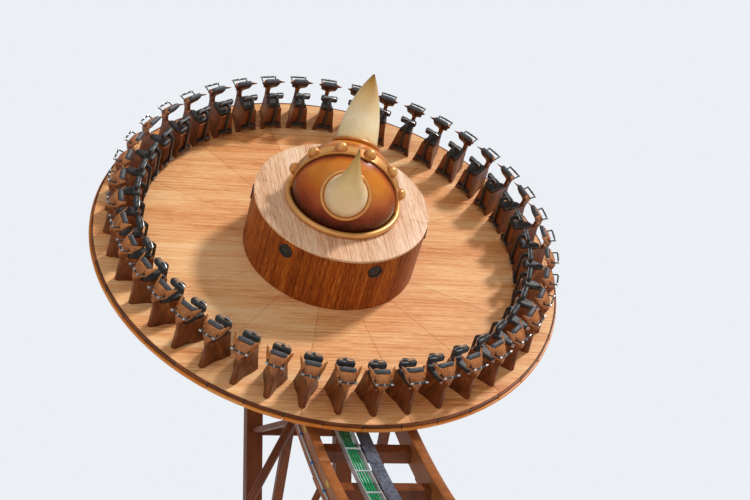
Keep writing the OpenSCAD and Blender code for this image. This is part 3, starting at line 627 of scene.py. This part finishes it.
def make_edge():
    step = 360 / edge_count
    gap = math.degrees(0.007 / rim_radius)
    bm = bmesh.new()
    sector(bm, rim_radius - edge_board, rim_radius, gap, step - gap, -edge_height + 0.004, 0, 8)
    soften(bm, 0.005, 3)
    places = [spin(edge_turn + i * step) for i in range(edge_count)]
    # The edge boards' dark wood is painted shade.
    row("edge_boards", to_mesh(bm, "edge_board"), places, shaded_edge_wood, ["edge_ring"])
    bm = bmesh.new()
    block(bm, (rim_radius - edge_board, -0.009, -edge_height - 0.02), (rim_radius + 0.004, 0.009, -0.003))
    soften(bm, 0.003, 2)
    row("edge_joints", to_mesh(bm, "edge_joint"), places, black_rubber)


def make_lip():
    step = 360 / edge_count
    gap = math.degrees(0.002 / rim_radius)
    outer = rim_radius + lip_overhang
    low = -edge_height - lip_height
    bm = bmesh.new()
    sector(bm, outer - lip_width, outer, gap, step - gap, low, -edge_height, 8)
    soften(bm, 0.012, 3)
    places = [spin(edge_turn + i * step) for i in range(edge_count)]
    row("lip_boards", to_mesh(bm, "lip_board"), places, lip_wood, ["lip_ring"])


# The drum


def make_drum():
    step = 360 / plank_count
    gap = math.degrees(0.0015 / drum_radius)
    bm = bmesh.new()
    sector(bm, drum_radius - drum_wall, drum_radius, gap, step - gap, 0, drum_height - 0.004, 3)
    soften(bm, 0.003, 1)
    places = [spin(plank_turn + i * step) for i in range(plank_count)]
    row("drum_planks", to_mesh(bm, "drum_plank"), places, wall_wood, ["drum_shell"])
    bm = bmesh.new()
    gap = math.degrees(0.002 / drum_radius)
    sector(bm, 0.02, drum_radius, gap, 90 - gap, drum_height, drum_height + drum_top, 28)
    soften(bm, 0.006, 3)
    places = [spin(cover_turn + i * 90) for i in range(4)]
    row("drum_cover", to_mesh(bm, "drum_top"), places, top_wood, ["drum_top"], tints=[0.4, 0.55, 0.5, 0.6])


def make_grilles():
    places = []
    for i in range(grille_count):
        turn = spin(grille_turn + i * 360 / grille_count)
        turn = turn @ Matrix.Translation((drum_radius - 0.006, 0, grille_height))
        places.append(turn @ Matrix.Rotation(math.radians(90), 4, "Y"))
    bm = bmesh.new()
    r = grille_radius
    ring = [(r - 0.016, 0), (r, 0), (r, 0.014), (r - 0.004, 0.022), (r - 0.012, 0.022), (r - 0.016, 0.016)]
    turned(bm, ring, 40)
    row("grille_rings", to_mesh(bm, "grille_ring"), places, black_frame, ["speaker_grilles"])
    bm = bmesh.new()
    rings = []
    inner = grille_radius - 0.014
    for k in range(7):
        r = inner * (1 - k / 6.6)
        rings.append(circle(r, 0.006 + 0.012 * (1 - (r / inner) ** 2), 40))
    loft(bm, rings)
    row("grille_nets", to_mesh(bm, "grille_net"), places, grille_black)


# The helmet


def sphere_height(radius, x, extra=0.0):
    return math.sqrt(max(radius * radius - x * x, 0)) + extra


def make_dome():
    bm = bmesh.new()
    profile = [(dome_radius, z) for z in (0, 0.06, 0.12)]
    profile += [(dome_radius * math.cos(t), dome_foot + dome_radius * math.sin(t))
                for t in np.linspace(0, math.radians(88), 40)]
    loft(bm, [circle(r, z, 96) for r, z in profile])
    piece("helmet_bowl", to_mesh(bm, "helmet_bowl"), dome_brown, "platform", helmet, ["helmet_dome"])


def make_brim():
    bm = bmesh.new()
    middle = dome_radius + brim_section
    section = [(middle + brim_section * math.cos(a), brim_section + brim_section * math.sin(a))
               for a in turns(24)]
    turned(bm, section, 144)
    mesh = to_mesh(bm, "helmet_ring")
    # The ring darkens towards its lower side as painted shade.
    ridge = [0.3 + 0.7 * max(0, v.co.z / (2 * brim_section)) for v in mesh.vertices]
    store(mesh, "ridge", "FLOAT", ridge)
    piece("helmet_ring", mesh, gold, "platform", helmet, ["helmet_brim"])


def band_path(x, extra):
    """Points over the bowl at a distance x from its middle plane, extra above its surface."""
    steps = 72
    reach = sphere_height(dome_radius, x, extra)
    foot = 2 * brim_section
    points = [(x, -reach, foot), (x, -reach, (foot + dome_foot) / 2)]
    for i in range(steps + 1):
        a = math.pi * i / steps
        points.append((x, -reach * math.cos(a), dome_foot + reach * math.sin(a)))
    points += [(x, reach, (foot + dome_foot) / 2), (x, reach, foot)]
    return points


def make_band():
    half = band_width / 2
    # The strip has a bead along each edge with a groove beside it.
    top, low = band_thickness, 0.022
    section = [(-half, -0.01), (-half, 0.03), (-half + 0.004, top), (-half + 0.016, top), (-half + 0.02, low),
               (-half + 0.027, low), (-half + 0.031, top - 0.002), (half - 0.031, top - 0.002),
               (half - 0.027, low), (half - 0.02, low), (half - 0.016, top), (half - 0.004, top),
               (half, 0.03), (half, -0.01)]
    lines = [band_path(x, extra) for x, extra in section]
    bm = bmesh.new()
    loft(bm, [[line[i] for line in lines] for i in range(len(lines[0]))])
    mesh = to_mesh(bm, "helmet_strip")
    # The strip's low parts and grooves get painted shade; its raised parts stay light.
    ridge = []
    for v in mesh.vertices:
        height = Vector((0, v.co.y, max(v.co.z - dome_foot, 0))).length - sphere_height(dome_radius, v.co.x)
        ridge.append(0.0 if height < 0.025 else 0.75)
    store(mesh, "ridge", "FLOAT", ridge)
    piece("helmet_strip", mesh, gold, "platform", helmet, ["helmet_band"])


def make_rivets():
    bm = bmesh.new()
    rings = [circle(rivet_radius + 0.006, -0.02, 32), circle(rivet_radius + 0.002, 0.004, 32)]
    for t in np.linspace(0, math.radians(86), 12)[1:]:
        rings.append(circle(rivet_radius * math.cos(t), rivet_radius * math.sin(t), 32))
    loft(bm, rings)
    base = to_mesh(bm, "rivet")
    # Each stud darkens towards its foot as painted shade.
    store(base, "ridge", "FLOAT", [min(1.0, max(0.0, v.co.z / rivet_radius)) for v in base.vertices])
    places = []
    for i in range(rivet_count):
        turn = Matrix.Rotation(math.radians((i + 0.5) * 180 / rivet_count - 90), 4, "X")
        lift = Matrix.Translation((0, 0, dome_radius + band_thickness))
        places.append(Matrix.Translation((0, 0, dome_foot)) @ turn @ lift)
    row("helmet_studs", base, places, gold, ["helmet_rivets"], on=helmet)


def collar_reach():
    """How far the plane of a collar lies from the bowl's middle."""
    return math.sqrt((dome_radius + collar_section) ** 2 - collar_radius ** 2)


def horn_places():
    """The horns' roots: z runs out square from the bowl."""
    lean = Matrix.Rotation(math.radians(90 - horn_root_angle), 4, "Y")
    away = Matrix.Translation((0, 0, collar_reach()))
    return [spin(side) @ Matrix.Translation((0, 0, dome_foot)) @ lean @ away for side in (0, 180)]


def make_collars():
    places = horn_places()
    bm = bmesh.new()
    angles = turns(20)
    section = [(collar_radius + collar_section * math.cos(a), collar_section * math.sin(a)) for a in angles]
    turned(bm, section, 96)
    base = to_mesh(bm, "collar")
    # Each collar darkens on its side towards the bowl as painted shade.
    store(base, "ridge", "FLOAT", [0.35 + 0.5 * max(0, v.co.z / collar_section) for v in base.vertices])
    row("horn_rings", base, places, gold, ["horn_collars"], on=helmet)
    bm = bmesh.new()
    inner = collar_radius - collar_section - 0.004
    turned(bm, [(inner + 0.014 * math.cos(a), 0.014 * math.sin(a)) for a in angles[::2]], 96)
    row("horn_seals", to_mesh(bm, "collar_seal"), places, dome_brown, on=helmet)


def make_horns():
    lean = math.radians(horn_root_angle)
    reach = collar_reach() - collar_section
    root = Vector((reach * math.cos(lean), 0, dome_foot + reach * math.sin(lean)))
    tip = Vector((horn_tip[0], 0, horn_tip[1]))
    bow = Vector((horn_bow[0], 0, horn_bow[1]))
    guides = [root, root + horn_lead * Vector((math.cos(lean), 0, math.sin(lean))), tip + bow, tip]

    def line(t):
        return ((1 - t) ** 3 * guides[0] + 3 * t * (1 - t) ** 2 * guides[1]
                + 3 * t * t * (1 - t) * guides[2] + t ** 3 * guides[3])

    steps, sides, thin = 40, 40, 0.016
    wide = collar_radius - collar_section - 0.0003
    bm = bmesh.new()
    rings = []
    for k in range(steps + 1):
        t = k / steps
        run = (line(min(t + 0.01, 1)) - line(max(t - 0.01, 0))).normalized()
        up = Vector((-run.z, 0, run.x))
        size = thin + (wide - thin) * (1 - t ** horn_fullness) ** horn_taper
        if k == steps:
            size = thin * 0.5
        rings.append([line(t) + size * (math.cos(a) * up + math.sin(a) * Vector((0, 1, 0)))
                      for a in turns(sides)])
    loft(bm, rings)
    base = to_mesh(bm, "horn")
    store(base, "ridge", "FLOAT", np.repeat(np.linspace(0, 1, steps + 1), sides).astype(np.float32))
    row("horn_pair", base, [Matrix(), spin(180)], ivory, ["horns"], smooth=60, on=helmet)


# The seats: x is outward from the platform's middle, y is across the seat, z is up from the deck

seat_places = [spin(seat_turn + i * 360 / seat_count) for i in range(seat_count)]
rear_face = 3.06
nose_foot = 3.587
pedestal_top = 0.43
arch_height = 0.11
arch_depth = 0.15


def both_sides(half):
    """A ring from one half of it, with the other half mirrored."""
    return [Vector((x, -y, z)) for x, y, z in reversed(half)] + [Vector(p) for p in half]


def pedestal_half(z):
    """One half of the pedestal's outline at a height: nose, flank, root, rear corner, inside of the arch."""
    foot = [(nose_foot, 0.022), (3.555, 0.05), (3.45, 0.07), (3.33, 0.096), (3.2, 0.152), (rear_face, 0.19)]
    top = [(3.56, 0.022), (3.51, 0.038), (3.43, 0.052), (3.35, 0.074), (3.22, 0.102), (rear_face, 0.115)]
    flare = 1 - (1 - z / pedestal_top) ** 1.35
    points = [(a[0] + (b[0] - a[0]) * flare, a[1] + (b[1] - a[1]) * flare) for a, b in zip(foot, top)]
    low = min(z, arch_height)
    points.append((rear_face, 0.115 - 0.3 * low))
    points.append((rear_face + (arch_depth if z <= arch_height else 0), 0.1 - 0.35 * low))
    return [(x, y, z) for x, y in points]


def make_pedestals():
    bm = bmesh.new()
    levels = (0, 0.03, 0.07, arch_height, arch_height + 0.002, 0.17, 0.25, 0.34, pedestal_top)
    loft(bm, [both_sides(pedestal_half(z)) for z in levels])
    neck = [both_sides([(3.555, 0.02, 0.38), (3.48, 0.036, 0.38)]),
            both_sides([(3.575, 0.022, 0.44), (3.475, 0.034, 0.44)]),
            both_sides([(3.592, 0.024, 0.502), (3.488, 0.034, 0.502)])]
    loft(bm, neck)
    soften(bm, 0.01, 2, 30)
    bmesh.ops.triangulate(bm, faces=[f for f in bm.faces if len(f.verts) > 4])
    long_edges = [e for e in bm.edges if e.calc_length() > 0.07]
    bmesh.ops.subdivide_edges(bm, edges=long_edges, cuts=2, use_grid_fill=True)
    bm.normal_update()
    for v in bm.verts:
        if v.co.z > 0.004:
            lump = noise.noise(v.co * 16) * 0.006 + noise.noise(v.co * 45) * 0.002
            v.co += v.normal * (lump - 0.003)
    base = to_mesh(bm, "pedestal")
    # ridge is a painted highlight along the crease where the flank turns to the rear corner, and it grows
    # towards the top.
    ridge = []
    for v in base.vertices:
        crease = abs(v.co.x - (3.19 + 0.4 * v.co.z))
        ridge.append(max(0.0, 1 - crease / 0.03) * 0.6 + 0.4 * v.co.z / 0.5)
    store(base, "ridge", "FLOAT", ridge)
    row("seat_stands", base, seat_places, pedestal_brown, ["seat_pedestals"], smooth=40)


def make_cowls():
    bm = bmesh.new()
    rows = [both_sides([(3.59, 0.022, 0.5), (3.49, 0.032, 0.5)]),
            both_sides([(3.6, 0.024, 0.545), (3.48, 0.045, 0.545)]),
            both_sides([(3.545, 0.088, 0.655), (3.44, 0.128, 0.6)]),
            both_sides([(3.45, 0.12, 0.75), (3.39, 0.145, 0.7)])]
    loft(bm, rows)
    # A wing on each side stands out and back beside the chest pad; its inside is darkened as painted shade.
    for side in (-1, 1):
        outer = [(3.585, 0.05, 0.575), (3.53, 0.112, 0.6), (3.49, 0.148, 0.64), (3.42, 0.178, 0.7),
                 (3.36, 0.196, 0.752), (3.33, 0.205, 0.79), (3.36, 0.176, 0.772), (3.41, 0.144, 0.757),
                 (3.454, 0.118, 0.752), (3.55, 0.084, 0.652)]
        skin = [Vector((x, side * y, z)) for x, y, z in outer]
        lining = [p + Vector((-0.01, -side * 0.012, -0.002)) for p in skin]
        loft(bm, [skin, lining])
    soften(bm, 0.005, 2, 20)
    base = to_mesh(bm, "cowl")
    # ridge rises towards the top, falls towards the wings' outer ends, and falls on the wings' insides as
    # painted shade.
    ridge = []
    for v in base.vertices:
        out = abs(v.co.y)
        wing = max(0.0, (out - 0.165) / 0.05)
        inside = max(0.0, -v.normal.x) if out > 0.1 else 0
        ridge.append(0.35 + 0.5 * (v.co.z - 0.5) / 0.25 - 0.6 * wing - 1.6 * inside)
    store(base, "ridge", "FLOAT", ridge)
    row("seat_cowls", base, seat_places, cowl_brown, ["chest_shields"], smooth=35)
    bm = bmesh.new()
    face = Matrix.Translation((3.555, 0, 0.634)) @ Matrix.Rotation(math.radians(63), 4, "Y")
    turned(bm, [(0.001, 0), (0.014, 0), (0.014, 0.006), (0.009, 0.011), (0.001, 0.011)], 16, face)
    row("cowl_bolts", to_mesh(bm, "cowl_bolt"), seat_places, bright_steel)


def cushion(name, rings, voxel=0.02, swell=0.008):
    """A stuffed cover: remeshed, blown up a little by cloth pressure, held near its shape and smoothed."""
    bm = bmesh.new()
    loft(bm, rings)
    soften(bm, 0.012, 2, 20)
    mesh = to_mesh(bm, name)
    body = bpy.data.objects.new(name, mesh)
    bpy.context.scene.collection.objects.link(body)
    remesh = body.modifiers.new("remesh", "REMESH")
    remesh.mode = "VOXEL"
    remesh.voxel_size = voxel
    settle(body)
    start = numbers(body.data.vertices, "co", np.float32, 3).reshape(-1, 3)
    frames = 20
    cloth = body.modifiers.new("cloth", "CLOTH")
    cloth.settings.use_pressure = True
    cloth.settings.uniform_pressure_force = 4
    cloth.settings.effector_weights.gravity = 0
    cloth.settings.tension_stiffness = 20
    cloth.settings.compression_stiffness = 20
    cloth.point_cache.frame_start = 1
    cloth.point_cache.frame_end = frames
    for step in range(1, frames + 1):
        bpy.context.scene.frame_set(step)
    settle(body)
    end = numbers(body.data.vertices, "co", np.float32, 3).reshape(-1, 3)
    move = end - start
    length = np.linalg.norm(move, axis=1, keepdims=True)
    move *= np.minimum(1, swell / np.maximum(length, 1e-9))
    body.data.vertices.foreach_set("co", (start + move).ravel())
    bpy.context.scene.frame_set(1)
    smooth = body.modifiers.new("smooth", "SUBSURF")
    smooth.levels = 1
    smooth.render_levels = 1
    settle(body)
    made = body.data
    bpy.data.objects.remove(body)
    return made


def settle(body):
    """Applies a body's modifiers."""
    bpy.context.view_layer.update()
    graph = bpy.context.evaluated_depsgraph_get()
    mesh = bpy.data.meshes.new_from_object(body.evaluated_get(graph))
    body.modifiers.clear()
    body.data = mesh


def make_saddles():
    rings = [both_sides([(3.44, 0.05, 0.432), (3.33, 0.088, 0.432), (3.085, 0.108, 0.432)]),
             both_sides([(3.43, 0.046, 0.468), (3.33, 0.084, 0.472), (3.085, 0.104, 0.488)])]
    base = cushion("saddle", rings)
    made = row("saddle_pads", base, seat_places, saddle_cover, ["seat_saddles"], smooth=80)


def make_chest_pads():
    low = [(3.446, 0.122, 0.752), (3.396, 0.142, 0.71)]
    high = [(3.408, 0.11, 0.803), (3.352, 0.13, 0.757)]
    base = cushion("chest_pad", [both_sides(low), both_sides(high)], 0.016, 0.007)
    made = row("chest_rests", base, seat_places, chest_cover, ["chest_pads"], smooth=80)


def make_back_pads():
    """Two lobes with a narrow middle, on the arm's cross plate."""
    rings = []
    for y in (-0.143, -0.128, -0.08, -0.022, -0.008, 0.008, 0.022, 0.08, 0.128, 0.143):
        lobe = 1 - 0.2 * max(0, 1 - abs(y) / 0.022) - (0.22 if abs(y) > 0.14 else 0)
        ring = []
        for a in turns(12):
            c, s = math.cos(a), math.sin(a)
            x = 3.16 + 0.034 * lobe * math.copysign(abs(c) ** 0.6, c)
            z = 0.628 + 0.06 * lobe * math.copysign(abs(s) ** 0.6, s)
            ring.append(Vector((x, y, z)))
        rings.append(ring)
    base = cushion("back_pad", rings, 0.016, 0.007)
    made = row("back_rests", base, seat_places, back_cover, ["back_pads"], smooth=80)


def make_back_frames():
    bm = bmesh.new()
    stem = [(3.115, 0.665), (3.07, 0.665), (3.012, 0.605), (3.012, 0.1), (3.05, 0.1), (3.05, 0.575),
            (3.09, 0.6), (3.115, 0.6)]
    rings = [[Vector((x, y, z)) for x, z in stem] for y in (-0.022, 0.022)]
    loft(bm, rings)
    block(bm, (3.013, -0.13, 0.1), (3.06, 0.13, 0.14))
    block(bm, (3.113, -0.1, 0.6), (3.13, 0.1, 0.655))
    soften(bm, 0.005, 2, 25)
    row("back_frames", to_mesh(bm, "back_frame"), seat_places, black_frame, ["back_arms"])
    bm = bmesh.new()
    bow = [(3.128, -0.118, 0.64), (3.117, -0.116, 0.672), (3.116, -0.085, 0.684), (3.114, 0, 0.687),
           (3.116, 0.085, 0.684), (3.117, 0.116, 0.672), (3.128, 0.118, 0.64)]
    tube(bm, bow, 0.008, 8)
    row("back_bows", to_mesh(bm, "back_bow"), seat_places, bright_steel)


def make_handlebars():
    bm = bmesh.new()
    out, half, up = 3.6, 0.126, 0.69
    tube(bm, [(out, y, up) for y in (-half, -0.06, 0, 0.06, half)], 0.014, 12)
    row("grips", to_mesh(bm, "grip"), seat_places, grip_rubber, ["handlebars"])
    bm = bmesh.new()
    for side in (-1, 1):
        y = side * (half - 0.004)
        tube(bm, [(out, y, up), (3.585, y, 0.686), (3.5, y, 0.663), (3.44, y, 0.642)], 0.011, 10)
    row("grip_arms", to_mesh(bm, "grip_arm"), seat_places, black_frame)
    bm = bmesh.new()
    for side in (-1, 1):
        tube(bm, [(out, side * (half - 0.03), up), (out, side * (half + 0.012), up)], 0.0152, 12)
    tube(bm, [(out, 0, 0.674), (3.604, 0, up), (out, 0, 0.706)], 0.0152, 12)
    row("grip_ends", to_mesh(bm, "grip_end"), seat_places, bright_steel)


# The track and its supports


def dress_nodes():
    """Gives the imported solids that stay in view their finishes."""
    looks = {
        "drive_rail": rail_steel, "cable_tray": zinc, "tray_rungs": zinc, "power_cables": green_sheath,
        "conduit": zinc, "conduit_clips": blue_plastic, "marker_plates": yellow_paint,
        "buffers": black_rubber, "running_wheels": black_rubber, "guide_wheels": black_rubber,
        "drive_tyres": black_rubber, "wheel_axles": bright_steel, "guide_pins": bright_steel,
        "drive_axles": bright_steel, "bearing_lower": rail_steel, "bearing_upper": rail_steel,
        "chassis_sides": dark_steel, "chassis_deck": dark_steel, "hub": dark_steel, "deck_ribs": dark_steel,
        "drive_motors": blue_steel,
    }
    for name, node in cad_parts.items():
        if node.hide_render:
            continue
        node.data.materials.clear()
        # Supports other than the beams take the shaded copy of the beams' brown, as painted shade.
        plain = brown_steel if name.endswith("_beams") else shaded_support_steel
        node.data.materials.append(looks.get(name, plain))


def rounded_nodes(names, width):
    """Rounds the edges of packed steel boxes, as rolled sections have them."""
    for name in names:
        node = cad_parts[name]
        weld = node.modifiers.new("weld", "WELD")
        weld.merge_threshold = 0.0002
        bevel = node.modifiers.new("bevel", "BEVEL")
        bevel.width = width
        bevel.segments = 2
        bevel.limit_method = "ANGLE"
        bevel.angle_limit = math.radians(40)
        bevel.harden_normals = True


def make_anchor_bolts():
    """A washer, a nut and the end of a bolt over each hole of the plates on the ground."""
    spots = []
    for sx in (-1, 1):
        for sy in (-1, 1):
            column = (sx * column_distance, sy * gauge / 2)
            post = (sx * post_distance, sy * gauge / 2)
            spots += [(column, column_bolts), (post, plate_bolts)]
        spots += [((sx * x, sx * y), plate_bolts) for x, y in prop_feet]
    places = []
    for (x, y), half in spots:
        for bx in (-half, half):
            for by in (-half, half):
                places.append(Matrix.Translation((x + bx, y + by, 0.03)))
    bm = bmesh.new()
    prism(bm, arc(0.034, 0, 348, 29), 0, 0.005)
    prism(bm, arc(0.026, 0, 300, 5), 0.005, 0.029)
    prism(bm, arc(0.0145, 0, 342, 19), 0.029, 0.05)
    soften(bm, 0.0015, 1)
    base = to_mesh(bm, "anchor")
    piece("anchor_nuts", copies("anchor_nuts", base, places), zinc, "track")


def make_joint_plates():
    """A bolted plate under each joint of the rail beams but the lowest, which the sill holds."""
    bm = bmesh.new()
    low = -beam_depth - 0.016
    block(bm, (-0.2, -beam_width / 2, low), (0.2, beam_width / 2, -beam_depth - 0.0005))
    soften(bm, 0.003, 1)
    for x in (-0.15, -0.08, 0.08, 0.15):
        for y in (-0.045, 0.045):
            prism(bm, [(x + px, y + py) for px, py in arc(0.017, 0, 300, 5)], low - 0.013, low)
    base = to_mesh(bm, "joint_plate")
    places = []
    for angle in (-track_half_angle / 2, track_half_angle / 2):
        for side in (-1, 1):
            places.append(on_track(angle) @ Matrix.Translation((0, side * gauge / 2, 0)))
    piece("joint_plates", copies("joint_plates", base, places), brown_steel, "track")


def make_tie_welds():
    """A weld seam round each end of each tie."""
    half = gauge / 2 - beam_width / 2
    bm = bmesh.new()
    x, top, low = tie_width / 2, -tie_drop, -tie_drop - tie_depth
    ring = [(x, half, top), (-x, half, top), (-x, half, low), (x, half, low)]
    for side in (-1, 1):
        corners = [(px, side * py, pz) for px, py, pz in ring]
        for a, b in zip(corners, corners[1:] + corners[:1]):
            tube(bm, [Vector(a).lerp(Vector(b), t) for t in (0, 0.5, 1)], 0.007, 6)
    base = to_mesh(bm, "tie_weld")
    step = 2 * (track_half_angle - tie_margin) / (tie_count - 1)
    places = [on_track((i - (tie_count - 1) / 2) * step) for i in range(tie_count)]
    # The tie welds take the supports' painted shade.
    piece("tie_welds", copies("tie_welds", base, places), shaded_support_steel, "track")


make_anchor_bolts()
make_joint_plates()
make_tie_welds()
make_deck()
make_edge()
make_lip()
make_drum()
make_grilles()
make_dome()
make_brim()
make_band()
make_rivets()
make_collars()
make_horns()
make_pedestals()
make_cowls()
make_saddles()
make_chest_pads()
make_back_pads()
make_back_frames()
make_handlebars()
dress_nodes()
rounded_nodes(["far_upper_beams", "far_lower_beams", "near_lower_beams", "near_upper_beams", "cross_ties",
               "tower_columns", "tower_struts", "tower_diagonals", "tower_cross_members", "low_posts"], 0.012)

# Floor, sky and lamps


def make_stage():
    bm = bmesh.new()
    bmesh.ops.create_grid(bm, x_segments=1, y_segments=1, size=120)
    mesh = bpy.data.meshes.new("floor")
    bm.to_mesh(mesh)
    bm.free()
    f = Finish("floor", 0.85, specular=0.2)
    f.colour(f.ramp(f.noise(0.6, 3), (0, paint(226, 226, 224)), (1, paint(234, 234, 232))))
    mesh.materials.append(f.material)
    floor = bpy.data.objects.new("floor", mesh)
    bpy.context.scene.collection.objects.link(floor)
    floor.location = (0, 0, -0.002)
    world = bpy.data.worlds.new("world")
    bpy.context.scene.world = world
    world.use_nodes = True
    tree = world.node_tree
    back = tree.nodes["Background"]
    back.inputs["Color"].default_value = paint(236, 238, 242)
    back.inputs["Strength"].default_value = 0.42
    seen = tree.nodes.new("ShaderNodeBackground")
    seen.inputs["Color"].default_value = paint(236, 240, 245)
    seen.inputs["Strength"].default_value = 1.0
    path = tree.nodes.new("ShaderNodeLightPath")
    choose = tree.nodes.new("ShaderNodeMixShader")
    tree.links.new(path.outputs["Is Camera Ray"], choose.inputs[0])
    tree.links.new(back.outputs[0], choose.inputs[1])
    tree.links.new(seen.outputs[0], choose.inputs[2])
    tree.links.new(choose.outputs[0], tree.nodes["World Output"].inputs["Surface"])
    lamp("key", (0.25, 0.65, 0.9), 2.5, 8)
    lamp("fill", (0.85, -0.45, 0.35), 0.45, 60)


def lamp(name, towards, strength, angle):
    """A soft distant lamp that shines from a direction."""
    data = bpy.data.lights.new(name, "SUN")
    data.energy = strength
    data.angle = math.radians(angle)
    made = bpy.data.objects.new(name, data)
    bpy.context.scene.collection.objects.link(made)
    made.rotation_euler = Vector(towards).to_track_quat("Z", "Y").to_euler()


def make_camera():
    data = bpy.data.cameras.new("camera")
    camera = bpy.data.objects.new("camera", data)
    bpy.context.scene.collection.objects.link(camera)
    camera.location = (17.263, -7.22, 2.09)
    camera.rotation_euler = (math.radians(99), 0, math.radians(73.5))
    data.sensor_width = 36
    data.lens = 85.1
    data.clip_end = 300
    bpy.context.scene.camera = camera


make_stage()
make_camera()
bpy.context.scene.view_settings.view_transform = "Standard"

bpy.context.view_layer.update()
